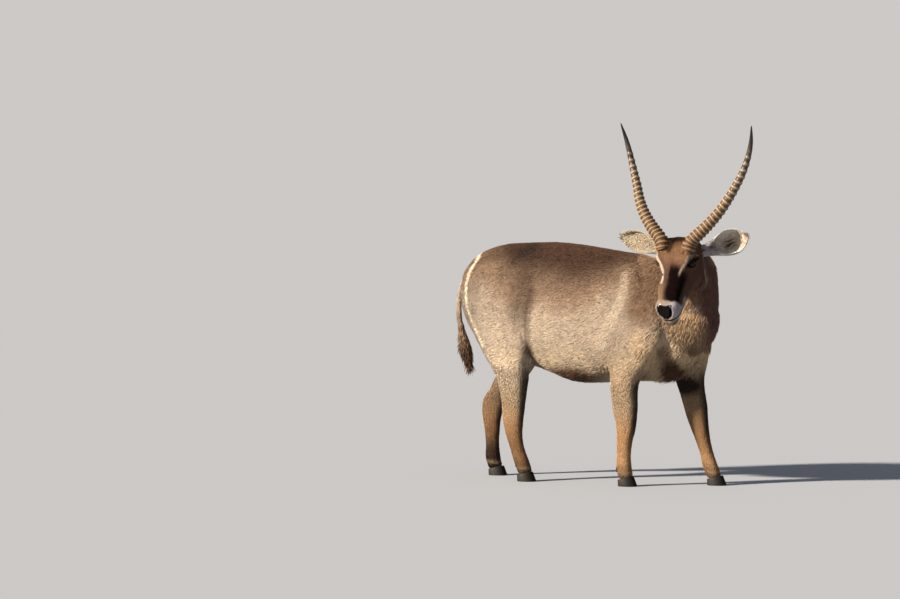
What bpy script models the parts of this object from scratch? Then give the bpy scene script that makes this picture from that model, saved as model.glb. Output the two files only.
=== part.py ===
"""A common waterbuck bull, life size, standing in a slow step with its head turned to its right.

Frame: +X is the way the trunk faces, +Y is the animal's left and +Z is up, in metres. The four feet stand on
z = 0, and the origin lies under the middle of the animal's box.

The flesh is lofted as overlapping closed tubes (trunk, neck, head, legs), fused into one skin by a voxel
remesh, and then parted by thin cuts into the named pieces. Horns, eyes, ears, tail and hooves are separate
solids with a small gap round them.
"""

import itertools
import math

import bmesh
import bpy
from mathutils import Matrix, Vector

# ---- driving sizes ------------------------------------------------------------------------------------
FRAME_SHIFT = Vector((-0.260, 0.064, 0.0))  # from the middle of the trunk to the middle of the whole box
GAP = 0.0006  # thickness of each parting cut, and the clearance round a seated piece
FLESH_VOXEL = 0.008
FLESH_SMOOTHING = 9
SLIVER = 0.0006  # edges shorter than this are closed up after the cuts, where that keeps a piece closed
WELD = 0.0001
TINY_AREA = 1e-8
FLESH_TRIANGLES = {"head": 1400, "neck": 560, "trunk": 1600, "leg": 220}
LOFT_SIDES = 32
LOFT_STEPS = 4

HEAD_ORIGIN = Vector((0.8035, -0.220, 1.2906))  # middle of the skull between the horns
HEAD_YAW = -97.5  # the face looks along -Y, just over a right-angle turn from the trunk
HEAD_PITCH = 69.0  # the nose points this far below level
HEAD_ROLL = -1.5
EYE_RADIUS = 0.0255
EYE_PLACE = (0.0860, 0.022, 0.098)  # left, crown, nose
CORONET_FRONT = 0.060
CORONET_BACK = 0.034
HORN_BASE_RADIUS = 0.0375
HORN_RINGS = 23
HORN_SIDES = 9

# ---- stations: each row is one section of a tube ------------------------------------------------------
# Trunk: x, top, widest height, bottom, half width.
TRUNK = [
    (-0.640, 1.120, 1.040, 0.960, 0.050),
    (-0.600, 1.180, 1.010, 0.850, 0.125),
    (-0.520, 1.243, 0.990, 0.740, 0.180),
    (-0.390, 1.285, 0.960, 0.670, 0.205),
    (-0.240, 1.296, 0.930, 0.640, 0.222),
    (-0.085, 1.300, 0.890, 0.592, 0.248),
    (0.060, 1.291, 0.870, 0.548, 0.262),
    (0.200, 1.273, 0.870, 0.545, 0.262),
    (0.340, 1.253, 0.880, 0.556, 0.245),
    (0.470, 1.236, 0.900, 0.562, 0.222),
    (0.600, 1.195, 0.920, 0.575, 0.186),
    (0.720, 1.130, 0.920, 0.640, 0.150),
    (0.800, 1.050, 0.910, 0.740, 0.110),
]
# Neck: x, y, z, half width, reach up, reach down.
NECK = [
    (0.460, 0.000, 0.980, 0.185, 0.250, 0.330),
    (0.620, 0.008, 0.985, 0.168, 0.225, 0.280),
    (0.715, 0.008, 1.040, 0.142, 0.180, 0.215),
    (0.773, -0.022, 1.110, 0.120, 0.150, 0.160),
    (0.784, -0.075, 1.172, 0.100, 0.122, 0.125),
    (0.786, -0.145, 1.215, 0.084, 0.092, 0.100),
    (0.790, -0.200, 1.235, 0.074, 0.066, 0.080),
]
# Head, along its own axis from the poll to the nose: distance, half width, reach up, reach down.
HEAD = [
    (-0.055, 0.055, 0.030, 0.060),
    (-0.030, 0.086, 0.054, 0.100),
    (0.008, 0.099, 0.074, 0.140),
    (0.050, 0.104, 0.080, 0.168),
    (0.090, 0.104, 0.078, 0.186),
    (0.140, 0.090, 0.072, 0.188),
    (0.190, 0.077, 0.067, 0.158),
    (0.240, 0.070, 0.062, 0.120),
    (0.290, 0.067, 0.056, 0.094),
    (0.335, 0.069, 0.050, 0.082),
    (0.370, 0.065, 0.041, 0.072),
    (0.402, 0.047, 0.020, 0.046),
]
# Rounded masses on the head: left, crown, nose, then the three half sizes in the same order.
HEAD_MASSES = [
    (0.080, 0.052, 0.074, 0.026, 0.024, 0.044),
    (0.080, 0.044, 0.000, 0.036, 0.036, 0.036),
    (0.062, -0.100, 0.118, 0.034, 0.076, 0.072),
    (0.044, 0.014, 0.345, 0.027, 0.034, 0.036),
    (0.014, -0.042, 0.384, 0.036, 0.028, 0.042),
    (0.043, 0.034, 0.235, 0.026, 0.025, 0.080),
    (0.064, 0.044, 0.140, 0.022, 0.020, 0.050),
]
# Rounded masses on the body: x, y, z, then half sizes along x, y and z.
BODY_MASSES = [
    (0.430, 0.158, 0.970, 0.140, 0.066, 0.200),
    (0.430, -0.158, 0.970, 0.140, 0.066, 0.200),
    (-0.380, 0.135, 1.000, 0.170, 0.085, 0.190),
    (-0.380, -0.135, 1.000, 0.170, 0.085, 0.190),
    (-0.240, 0.156, 0.805, 0.095, 0.072, 0.165),
    (-0.215, -0.158, 0.805, 0.095, 0.074, 0.165),
    (0.700, 0.000, 0.905, 0.195, 0.140, 0.200),
    (0.580, 0.000, 0.690, 0.165, 0.120, 0.125),
]
# Legs, top to bottom: z, x, half depth, y, half width.
FORELEG_RIGHT = [
    (1.080, 0.470, 0.120, -0.100, 0.070),
    (0.960, 0.500, 0.160, -0.125, 0.088),
    (0.800, 0.505, 0.155, -0.150, 0.088),
    (0.660, 0.460, 0.115, -0.160, 0.075),
    (0.550, 0.425, 0.080, -0.160, 0.062),
    (0.420, 0.427, 0.071, -0.157, 0.052),
    (0.360, 0.432, 0.062, -0.156, 0.048),
    (0.300, 0.432, 0.053, -0.156, 0.043),
    (0.240, 0.424, 0.044, -0.156, 0.037),
    (0.160, 0.419, 0.040, -0.156, 0.034),
    (0.100, 0.420, 0.044, -0.156, 0.038),
    (0.065, 0.427, 0.042, -0.156, 0.038),
    (0.040, 0.434, 0.043, -0.156, 0.041),
]
FORELEG_LEFT = [
    (1.080, 0.500, 0.120, 0.100, 0.070),
    (0.960, 0.550, 0.160, 0.125, 0.088),
    (0.800, 0.615, 0.165, 0.146, 0.088),
    (0.660, 0.640, 0.120, 0.148, 0.075),
    (0.550, 0.665, 0.078, 0.146, 0.062),
    (0.420, 0.700, 0.066, 0.142, 0.052),
    (0.360, 0.712, 0.059, 0.140, 0.048),
    (0.300, 0.728, 0.050, 0.140, 0.043),
    (0.240, 0.746, 0.041, 0.140, 0.037),
    (0.160, 0.772, 0.038, 0.140, 0.034),
    (0.100, 0.790, 0.043, 0.140, 0.038),
    (0.065, 0.806, 0.042, 0.140, 0.038),
    (0.040, 0.818, 0.043, 0.140, 0.041),
]
HINDLEG_RIGHT = [
    (1.100, -0.400, 0.170, -0.095, 0.090),
    (0.960, -0.380, 0.190, -0.120, 0.105),
    (0.800, -0.335, 0.165, -0.140, 0.100),
    (0.720, -0.310, 0.141, -0.147, 0.092),
    (0.650, -0.289, 0.118, -0.150, 0.083),
    (0.570, -0.268, 0.095, -0.149, 0.070),
    (0.500, -0.262, 0.079, -0.147, 0.058),
    (0.420, -0.262, 0.068, -0.145, 0.048),
    (0.360, -0.266, 0.064, -0.143, 0.045),
    (0.310, -0.267, 0.057, -0.142, 0.042),
    (0.240, -0.258, 0.046, -0.142, 0.036),
    (0.170, -0.238, 0.041, -0.142, 0.034),
    (0.105, -0.213, 0.044, -0.142, 0.038),
    (0.065, -0.197, 0.042, -0.142, 0.038),
    (0.040, -0.188, 0.043, -0.142, 0.041),
]
HINDLEG_LEFT = [
    (1.100, -0.400, 0.170, 0.095, 0.090),
    (0.960, -0.385, 0.190, 0.120, 0.105),
    (0.800, -0.360, 0.160, 0.138, 0.100),
    (0.700, -0.365, 0.130, 0.142, 0.088),
    (0.600, -0.405, 0.105, 0.138, 0.072),
    (0.510, -0.460, 0.082, 0.134, 0.058),
    (0.430, -0.530, 0.070, 0.132, 0.048),
    (0.370, -0.548, 0.064, 0.130, 0.045),
    (0.310, -0.552, 0.052, 0.130, 0.041),
    (0.240, -0.550, 0.043, 0.130, 0.035),
    (0.170, -0.548, 0.039, 0.130, 0.033),
    (0.105, -0.546, 0.043, 0.130, 0.037),
    (0.065, -0.535, 0.042, 0.130, 0.038),
    (0.040, -0.527, 0.043, 0.130, 0.041),
]
# Tail, root to tip: x, z, radius.
TAIL = [
    (-0.560, 1.150, 0.028),
    (-0.606, 1.125, 0.025),
    (-0.660, 1.062, 0.019),
    (-0.688, 0.960, 0.015),
    (-0.684, 0.860, 0.016),
    (-0.660, 0.770, 0.024),
    (-0.640, 0.690, 0.026),
    (-0.618, 0.610, 0.012),
]
# Horn, root to tip, in the head's own frame: out to the side, off the face, up past the poll.
HORN = [
    (0.078, 0.062, -0.045),
    (0.096, 0.074, 0.004),
    (0.157, 0.086, 0.064),
    (0.220, 0.097, 0.133),
    (0.270, 0.104, 0.209),
    (0.308, 0.108, 0.292),
    (0.344, 0.121, 0.373),
    (0.373, 0.145, 0.453),
    (0.396, 0.184, 0.528),
    (0.414, 0.239, 0.596),
]



class Leg:
    """One leg: its stations, where it is parted (x, z, tilt in degrees) and where its hooves stand."""

    def __init__(self, name, stations, y, cuts, blade_depth, foot_x, knee):
        self.name = name
        self.stations = stations
        self.y = y
        self.cuts = cuts
        self.blade_depth = blade_depth
        self.foot_x = foot_x
        self.knee = knee


LEGS = [
    Leg("front_right", FORELEG_RIGHT, -0.156, [(0.42, 0.575, 0), (0.43, 0.345, 0)], 0.24, 0.442, 0.345),
    Leg("front_left", FORELEG_LEFT, 0.142, [(0.66, 0.590, 0), (0.72, 0.330, 14)], 0.24, 0.828, 0.330),
    Leg("hind_right", HINDLEG_RIGHT, -0.146, [(-0.31, 0.640, 15), (-0.26, 0.395, 0)], 0.38, -0.180, 0.395),
    Leg("hind_left", HINDLEG_LEFT, 0.136, [(-0.39, 0.640, 15), (-0.54, 0.400, 0)], 0.38, -0.517, 0.400),
]
# Width and height of each parting blade.
HEAD_BLADE = (0.31, 0.44)
NECK_BLADE = (0.60, 0.80)
KNEE_BLADE = (0.16, 0.22)
LEG_BLADE_WIDTH = 0.262
# Where the middle of a loose piece of flesh lies decides its name.
HEAD_IS_RIGHT_OF = -0.20
HEAD_IS_ABOVE = 0.95
LEGS_ARE_BELOW = 0.62
LEG_REACH = 0.11
NECK_STARTS = 0.55
NECK_IS_ABOVE = 0.85
HEAD_CUT_ABOVE = (-0.060, -0.100)  # crown and nose of the parting behind the ears
HEAD_CUT_BELOW = (-0.135, 0.262)  # and behind the jaw
NECK_CUT_TOP = (0.455, 0.0, 1.260)
NECK_CUT_BOTTOM = (0.800, 0.0, 0.700)
SEAT_GAP = 0.0005
FOOT_HALF_LENGTH = 0.052
HOOF_SPLIT = 0.006
HOOF_WIDTH = 0.040
HOOF_TOP_LENGTH = 0.80  # the hoof's upper loop against its lower one
HOOF_TOP_WIDTH = 0.88
HOOF_TOP_BACK = 0.012
FOOT_BLOCK_WIDTH = 0.10
FOOT_BLOCK_FLOOR = -0.1
HORN_RINGED = 0.80
HORN_SWELL = 0.0022
HORN_SWELL_FALL = 0.6  # how much less the last ring swells than the first
HORN_RING_STEP = 0.012  # from a ring's crest to the groove after it
HORN_SMOOTH_TIP = (0.86, 0.93, 0.975, 1.0)
HORN_POINT = 0.35  # blunt tip against the taper's own end
HORN_SEAT_TOP = 1.42
EAR_SIDES = 8
EAR_THICKNESS = 0.0055
EAR_BURIED = 0.16
EAR_OPENS = 0.5  # where along the ear the spread is full
TAIL_SEAT = 0.93
TAIL_SIDES = 12
BALL_SEGMENTS = (14, 8)
MASS_SEGMENTS = (24, 16)
# Hoof seen from above: across from the split to the outside, then along from heel to toe.
HOOF_OUTLINE = [
    (0.0, -0.80),
    (0.45, -0.92),
    (0.85, -0.70),
    (1.0, -0.25),
    (0.97, 0.20),
    (0.80, 0.62),
    (0.50, 0.93),
    (0.22, 1.0),
    (0.0, 0.90),
]
# Ear sections: fraction of the length, radius, half angle of the wrap in degrees, setback of the middle.
EAR_STATIONS = [
    (0.00, 0.028, 165, 0.000),
    (0.12, 0.032, 165, 0.000),
    (0.28, 0.040, 150, 0.000),
    (0.42, 0.049, 118, -0.002),
    (0.56, 0.058, 92, -0.006),
    (0.70, 0.060, 79, -0.008),
    (0.82, 0.053, 71, -0.006),
    (0.92, 0.037, 66, 0.002),
    (1.00, 0.016, 60, 0.014),
]
# Ears: name, root in the head's frame, then root to tip and the way the hollow faces in the model's frame,
# and how far the outer half is spread open.
EARS = [
    ("ear_left", (0.080, -0.045, 0.014), (0.218, 0.125, 0.084), (0.30, -0.95, 0.10), 1.22),
    ("ear_right", (-0.094, -0.038, 0.018), (-0.292, -0.030, 0.078), (0.25, -0.95, -0.12), 1.0),
]
WORLD_FORWARD = Vector((1, 0, 0))
WORLD_LEFT = Vector((0, 1, 0))
WORLD_UP = Vector((0, 0, 1))


# ---- helpers ------------------------------------------------------------------------------------------
def clear_scene():
    for obj in list(bpy.data.objects):
        bpy.data.objects.remove(obj)


def finish_of(name, colour, roughness):
    """A plain material in the piece's own colour."""
    made = bpy.data.materials.new(name)
    made.use_nodes = True
    shader = made.node_tree.nodes["Principled BSDF"]
    shader.inputs["Base Color"].default_value = (*colour, 1.0)
    shader.inputs["Roughness"].default_value = roughness
    shader.inputs["Metallic"].default_value = 0.0
    made.diffuse_color = (*colour, 1.0)
    return made


def catmull_rom(before, start, end, after, t):
    """One value on the smooth curve from start to end."""
    return 0.5 * (
        2 * start
        + (end - before) * t
        + (2 * before - 5 * start + 4 * end - after) * t**2
        + (3 * start - before - 3 * end + after) * t**3
    )


def smooth_rows(rows, steps):
    """The stations with steps - 1 smooth rows put between each pair."""
    made = []
    last = len(rows) - 1
    for i in range(last):
        around = [rows[max(i - 1, 0)], rows[i], rows[i + 1], rows[min(i + 2, last)]]
        for step in range(steps):
            t = step / steps
            made.append(tuple(catmull_rom(*values, t) for values in zip(*around)))
    made.append(tuple(rows[-1]))
    return made


def oval(centre, across, upward, half_width, up, down, sides=LOFT_SIDES):
    """A ring round centre: half_width to each side along across, up and down along upward."""
    points = []
    for k in range(sides):
        angle = 2 * math.pi * k / sides
        reach = up if math.sin(angle) >= 0 else down
        points.append(
            centre + across * (half_width * math.cos(angle)) + upward * (reach * math.sin(angle))
        )
    return points


def add_tube(bm, rings):
    """A closed tube through the rings, with a flat face on each end."""
    loops = [[bm.verts.new(point) for point in ring] for ring in rings]
    for lower, upper in zip(loops, loops[1:]):
        count = len(lower)
        for k in range(count):
            bm.faces.new((lower[k], lower[(k + 1) % count], upper[(k + 1) % count], upper[k]))
    bm.faces.new(list(reversed(loops[0])))
    bm.faces.new(loops[-1])


def object_of(bm, name, finish=None, turn_faces=True):
    """Turns a bmesh into a named object with its faces pointing out."""
    if turn_faces:
        bmesh.ops.recalc_face_normals(bm, faces=bm.faces)
    mesh = bpy.data.meshes.new(name)
    bm.to_mesh(mesh)
    bm.free()
    obj = bpy.data.objects.new(name, mesh)
    bpy.context.scene.collection.objects.link(obj)
    mesh.materials.clear()
    if finish:
        mesh.materials.append(finish)
    return obj


def as_guide(obj):
    """A cutter: kept in the file but not part of the model."""
    obj.hide_render = True
    obj.display_type = "WIRE"
    return obj


def bake_modifiers(obj):
    """Replaces the object's mesh by what its modifiers make of it."""
    graph = bpy.context.evaluated_depsgraph_get()
    made = bpy.data.meshes.new_from_object(obj.evaluated_get(graph))
    obj.modifiers.clear()
    obj.data = made
    return obj


def joined(name, objects):
    """Several guides as one."""
    bm = bmesh.new()
    for obj in objects:
        bm.from_mesh(obj.data)
        bpy.data.objects.remove(obj)
    return as_guide(object_of(bm, name))


def cut(obj, cutter):
    """Takes the cutter's shape out of the object."""
    modifier = obj.modifiers.new("cut", "BOOLEAN")
    modifier.object = cutter
    modifier.operation = "DIFFERENCE"
    modifier.solver = "EXACT"
    return bake_modifiers(obj)


# ---- the head's own frame -----------------------------------------------------------------------------
def head_frame():
    """Columns: the head's left, its forehead normal and its back-to-front axis from poll to nose."""
    yaw, pitch = math.radians(HEAD_YAW), math.radians(HEAD_PITCH)
    facing = Vector((math.cos(yaw), math.sin(yaw), 0.0))
    upward = Vector((0.0, 0.0, 1.0))
    nose = facing * math.cos(pitch) - upward * math.sin(pitch)
    crown = facing * math.sin(pitch) + upward * math.cos(pitch)
    roll = Matrix.Rotation(math.radians(HEAD_ROLL), 3, facing)
    left = roll @ upward.cross(facing)
    return left, roll @ crown, roll @ nose


HEAD_LEFT, HEAD_CROWN, HEAD_NOSE = head_frame()


def on_head(left, crown, nose):
    """A point in the head's frame, in the model's frame."""
    return HEAD_ORIGIN + HEAD_LEFT * left + HEAD_CROWN * crown + HEAD_NOSE * nose


# ---- flesh --------------------------------------------------------------------------------------------
def trunk_rings():
    rings = []
    for x, top, widest, bottom, half_width in smooth_rows(TRUNK, LOFT_STEPS):
        middle = Vector((x, 0.0, widest))
        rings.append(oval(middle, WORLD_LEFT, WORLD_UP, half_width, top - widest, widest - bottom))
    return rings


def neck_rings():
    rows = smooth_rows(NECK, LOFT_STEPS)
    rings = []
    for i, (x, y, z, half_width, up, down) in enumerate(rows):
        behind, ahead = rows[max(i - 1, 0)], rows[min(i + 1, len(rows) - 1)]
        along = (Vector(ahead[:3]) - Vector(behind[:3])).normalized()
        across = WORLD_UP.cross(along).normalized()
        rings.append(oval(Vector((x, y, z)), across, along.cross(across), half_width, up, down))
    return rings


def head_rings():
    rings = []
    for along, half_width, up, down in smooth_rows(HEAD, LOFT_STEPS):
        rings.append(oval(on_head(0, 0, along), HEAD_LEFT, HEAD_CROWN, half_width, up, down))
    return rings


def leg_rings(stations):
    rings = []
    for z, x, half_depth, y, half_width in smooth_rows(stations, LOFT_STEPS):
        middle = Vector((x, y, z))
        rings.append(oval(middle, WORLD_LEFT, WORLD_FORWARD, half_width, half_depth, half_depth))
    return rings


def add_mass(bm, middle, axes, half_sizes):
    """A rounded mass with its three half sizes along the three axes."""
    turn = Matrix([axis.normalized() for axis in axes]).transposed().to_4x4()
    place = Matrix.Translation(middle) @ turn @ Matrix.Diagonal((*half_sizes, 1.0))
    around, along = MASS_SEGMENTS
    bmesh.ops.create_uvsphere(bm, u_segments=around, v_segments=along, radius=1.0, matrix=place)


def make_flesh():
    """Trunk, neck, head and legs as one closed surface."""
    bm = bmesh.new()
    add_tube(bm, trunk_rings())
    add_tube(bm, neck_rings())
    add_tube(bm, head_rings())
    for leg in LEGS:
        add_tube(bm, leg_rings(leg.stations))
    for left, crown, nose, *sizes in HEAD_MASSES:
        for side in (1, -1):
            add_mass(bm, on_head(side * left, crown, nose), (HEAD_LEFT, HEAD_CROWN, HEAD_NOSE), sizes)
    for x, y, z, *sizes in BODY_MASSES:
        add_mass(bm, Vector((x, y, z)), (WORLD_FORWARD, WORLD_LEFT, WORLD_UP), sizes)
    flesh = object_of(bm, "flesh")
    remesh = flesh.modifiers.new("fuse", "REMESH")
    remesh.mode = "VOXEL"
    remesh.voxel_size = FLESH_VOXEL
    smooth = flesh.modifiers.new("smooth", "SMOOTH")
    smooth.factor = 0.5
    smooth.iterations = FLESH_SMOOTHING
    bake_modifiers(flesh)
    bm, groups = loose_parts(flesh)
    whole = piece_of(bm, max(groups, key=len), "whole", None)
    bm.free()
    bpy.data.objects.remove(flesh)
    return whole


def close_up(obj):
    """Joins points that nearly touch, and says whether the surface is still closed."""
    bm = bmesh.new()
    bm.from_mesh(obj.data)
    bmesh.ops.remove_doubles(bm, verts=bm.verts, dist=WELD)
    bmesh.ops.triangulate(bm, faces=bm.faces)
    closed = all(len(edge.link_faces) == 2 for edge in bm.edges)
    closed = closed and all(face.calc_area() > TINY_AREA for face in bm.faces)
    bm.to_mesh(obj.data)
    bm.free()
    return closed


def without_slivers(mesh, shortest):
    """A copy of a mesh with its shortest edges closed up."""
    made = mesh.copy()
    if shortest:
        bm = bmesh.new()
        bm.from_mesh(made)
        bmesh.ops.dissolve_degenerate(bm, dist=shortest, edges=bm.edges)
        bm.to_mesh(made)
        bm.free()
    return made


def thin_out(piece, triangles):
    """Fewer triangles on a piece of flesh, tried again with a few more where one try opens the surface."""
    dense = piece.data
    for extra, shortest in itertools.product(range(0, 96, 12), (SLIVER, 0.0)):
        piece.data = without_slivers(dense, shortest)
        modifier = piece.modifiers.new("thin", "DECIMATE")
        modifier.ratio = (triangles + extra) / sum(len(face.vertices) - 2 for face in piece.data.polygons)
        modifier.use_collapse_triangulate = True
        bake_modifiers(piece)
        if close_up(piece):
            break
    return piece


# ---- parting the flesh --------------------------------------------------------------------------------
def blade(name, middle, normal, wide, tall, across):
    """A thin box: its thickness runs along normal, wide runs along across."""
    normal = normal.normalized()
    across = (across - normal * across.dot(normal)).normalized()
    third = normal.cross(across)
    bm = bmesh.new()
    turn = Matrix([across, third, normal]).transposed().to_4x4()
    place = Matrix.Translation(middle) @ turn @ Matrix.Diagonal((wide, tall, GAP, 1.0))
    bmesh.ops.create_cube(bm, size=1.0, matrix=place)
    return as_guide(object_of(bm, name))


def make_blades():
    blades = []
    throat = on_head(0, *HEAD_CUT_BELOW)
    nape = on_head(0, *HEAD_CUT_ABOVE)
    across_head = HEAD_LEFT
    blades.append(
        blade("blade_head", (throat + nape) / 2, across_head.cross(throat - nape), *HEAD_BLADE, across_head)
    )
    top, bottom = Vector(NECK_CUT_TOP), Vector(NECK_CUT_BOTTOM)
    middle = (top + bottom) / 2
    blades.append(blade("blade_neck", middle, WORLD_LEFT.cross(top - bottom), *NECK_BLADE, WORLD_LEFT))
    for leg in LEGS:
        for k, (x, z, tilt) in enumerate(leg.cuts):
            normal = Vector((math.sin(math.radians(tilt)), 0.0, math.cos(math.radians(tilt))))
            middle = Vector((x, leg.y, z))
            wide, deep = (LEG_BLADE_WIDTH, leg.blade_depth) if k == 0 else KNEE_BLADE
            blades.append(blade("blade_" + leg.name + str(k), middle, normal, wide, deep, WORLD_LEFT))
    return blades


def loose_parts(obj):
    """The separate closed pieces of an object, as bmesh pieces."""
    bm = bmesh.new()
    bm.from_mesh(obj.data)
    bm.verts.index_update()
    seen = set()
    groups = []
    for start in bm.verts:
        if start in seen:
            continue
        group, queue = [], [start]
        seen.add(start)
        while queue:
            vertex = queue.pop()
            group.append(vertex)
            for edge in vertex.link_edges:
                other = edge.other_vert(vertex)
                if other not in seen:
                    seen.add(other)
                    queue.append(other)
        groups.append(group)
    return bm, groups


def piece_of(bm, group, name, finish):
    """One closed piece of a bmesh as an object of its own."""
    inside = {vertex.index for vertex in group}
    made = bm.copy()
    others = [vertex for vertex in made.verts if vertex.index not in inside]
    bmesh.ops.delete(made, geom=others, context="VERTS")
    return object_of(made, name, finish, turn_faces=False)


def middle_of(group):
    """The mean place of a group of points."""
    total = Vector((0, 0, 0))
    for vertex in group:
        total += vertex.co
    return total / len(group)


def name_for(middle):
    """Which sub-part a piece of flesh is, from where its middle lies."""
    if middle.y < HEAD_IS_RIGHT_OF and middle.z > HEAD_IS_ABOVE:
        return "head"
    for leg in LEGS:
        if middle.z > LEGS_ARE_BELOW or (middle.y > 0) != (leg.y > 0):
            continue
        nearest = min(leg.stations, key=lambda row: abs(row[0] - middle.z))
        if abs(nearest[1] - middle.x) < LEG_REACH:
            return "leg_" + leg.name + ("_upper" if middle.z > leg.knee else "_lower")
    return "neck" if middle.x > NECK_STARTS and middle.z > NECK_IS_ABOVE else "trunk"


def part_flesh(flesh, finish):
    """Cuts the flesh with every blade and names what falls apart."""
    cut(flesh, joined("blades", make_blades() + make_foot_blocks()))
    bm, groups = loose_parts(flesh)
    named = {}
    for group in sorted(groups, key=len, reverse=True):
        name = name_for(middle_of(group))
        if name in named:
            continue
        named[name] = thin_out(piece_of(bm, group, name, finish), FLESH_TRIANGLES[name.split("_")[0]])
    bm.free()
    bpy.data.objects.remove(flesh)
    return named


# ---- feet ---------------------------------------------------------------------------------------------
def coronet_height(along):
    """The tilted plane over the hooves; along runs forward from the middle of the foot."""
    slope = (CORONET_FRONT - CORONET_BACK) / (2 * FOOT_HALF_LENGTH)
    return (CORONET_FRONT + CORONET_BACK) / 2 + slope * along


def prism(name, footprint_below, footprint_above, finish=None):
    """A closed solid between two loops with the same number of points."""
    bm = bmesh.new()
    add_tube(bm, [footprint_below, footprint_above])
    return object_of(bm, name, finish)


def make_foot_blocks():
    """The room each foot's hooves take, cleared from the flesh."""
    blocks = []
    for leg in LEGS:
        loops = []
        for level in (0, 1):
            loop = []
            for along, side in ((-1, -1), (1, -1), (1, 1), (-1, 1)):
                x = FOOT_HALF_LENGTH * 2 * along
                z = coronet_height(x) if level else FOOT_BLOCK_FLOOR
                loop.append(Vector((leg.foot_x + x, leg.y + side * FOOT_BLOCK_WIDTH, z)))
            loops.append(loop)
        blocks.append(as_guide(prism("block_" + leg.name, *loops)))
    return blocks


def hoof_loop(leg, side, level):
    """One loop of a hoof: level 0 stands on the ground, level 1 meets the hair."""
    longer, wider, back = (HOOF_TOP_LENGTH, HOOF_TOP_WIDTH, HOOF_TOP_BACK) if level else (1.0, 1.0, 0.0)
    points = []
    for across, along in HOOF_OUTLINE:
        x = FOOT_HALF_LENGTH * along * longer - back
        y = side * (HOOF_SPLIT / 2 + HOOF_WIDTH * across * wider)
        z = coronet_height(x) - GAP if level else 0.0
        points.append(Vector((leg.foot_x + x, leg.y + y, z)))
    return points


def make_hooves(finish):
    made = []
    for leg in LEGS:
        for side, word in ((1, "left"), (-1, "right")):
            name = "hoof_" + leg.name + "_" + word
            made.append(prism(name, hoof_loop(leg, side, 0), hoof_loop(leg, side, 1), finish))
    return made


# ---- seated pieces ------------------------------------------------------------------------------------
def sweep(rows, sides):
    """A closed tube along rows of (point, radius)."""
    bm = bmesh.new()
    rings = []
    for i, (point, radius) in enumerate(rows):
        behind, ahead = rows[max(i - 1, 0)][0], rows[min(i + 1, len(rows) - 1)][0]
        along = (ahead - behind).normalized()
        across = WORLD_LEFT.cross(along)
        if across.length < 0.2:
            across = WORLD_FORWARD.cross(along)
        across.normalize()
        rings.append(oval(point, across, along.cross(across), radius, radius, radius, sides))
    add_tube(bm, rings)
    return bm


def along_curve(points, t):
    """The point a fraction t of the way along a smooth curve through points."""
    span = t * (len(points) - 1)
    i = min(int(span), len(points) - 2)
    around = [points[max(i - 1, 0)], points[i], points[i + 1], points[min(i + 2, len(points) - 1)]]
    return Vector([catmull_rom(*values, span - i) for values in zip(*around)])


def horn_radius(t):
    return HORN_BASE_RADIUS * (1.0 - 0.62 * t - 0.30 * t**5)


def make_horn(side, finish):
    """A ringed horn: each ring swells and then falls back, and the last fifth is smooth."""
    points = [on_head(side * left, crown, -above) for left, crown, above in HORN]
    rows = [(along_curve(points, 0.0), horn_radius(0.0))]
    for k in range(HORN_RINGS):
        t = HORN_RINGED * (k + 1) / HORN_RINGS
        swell = HORN_SWELL * (1.0 - HORN_SWELL_FALL * t)
        rows.append((along_curve(points, t - HORN_RING_STEP), horn_radius(t) + swell))
        rows.append((along_curve(points, t), horn_radius(t) - swell))
    for t in HORN_SMOOTH_TIP:
        rows.append((along_curve(points, t), horn_radius(t) * (HORN_POINT if t == 1.0 else 1.0)))
    name = "horn_left" if side > 0 else "horn_right"
    return object_of(sweep(rows, HORN_SIDES), name, finish)


def make_eye(side, finish):
    left, crown, nose = EYE_PLACE
    bm = bmesh.new()
    turn = Matrix([HEAD_CROWN, HEAD_NOSE, HEAD_LEFT]).transposed().to_4x4()
    place = Matrix.Translation(on_head(side * left, crown, nose)) @ turn
    around, along = BALL_SEGMENTS
    bmesh.ops.create_uvsphere(bm, u_segments=around, v_segments=along, radius=EYE_RADIUS, matrix=place)
    return object_of(bm, "eye_left" if side > 0 else "eye_right", finish)


def make_ear(name, root, tip, opening, spread, finish):
    """A cupped ear from root to tip; opening is the way its hollow faces."""
    along = tip - root
    length = along.length
    along.normalize()
    opening = (opening - along * opening.dot(along)).normalized()
    across = along.cross(opening)
    outer, inner = [], []
    for t, radius, half_angle, setback in EAR_STATIONS:
        middle = root + along * (t * length) - opening * setback
        radius *= 1.0 + (spread - 1.0) * min(1.0, t / EAR_OPENS)
        for shell, reach in ((outer, radius), (inner, radius - EAR_THICKNESS)):
            ring = []
            for k in range(EAR_SIDES + 1):
                angle = math.radians(half_angle) * (2 * k / EAR_SIDES - 1)
                aside, behind = reach * math.sin(angle), reach * math.cos(angle)
                ring.append(middle + across * aside - opening * behind)
            shell.append(ring)
    bm = bmesh.new()
    add_tube(bm, [o + list(reversed(i)) for o, i in zip(outer, inner)])
    return object_of(bm, name, finish)


def make_tail(finish):
    points = [(Vector((x, 0.0, z)), radius) for x, z, radius in TAIL]
    rows = []
    for i in range(len(points) - 1):
        around = [points[max(i - 1, 0)], points[i], points[i + 1], points[min(i + 2, len(points) - 1)]]
        for t in (0.0, 0.5):
            middle = Vector([catmull_rom(*values, t) for values in zip(*(p[0] for p in around))])
            rows.append((middle, catmull_rom(*(p[1] for p in around), t)))
    rows.append(points[-1])
    return object_of(sweep(rows, TAIL_SIDES), "tail", finish)


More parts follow.
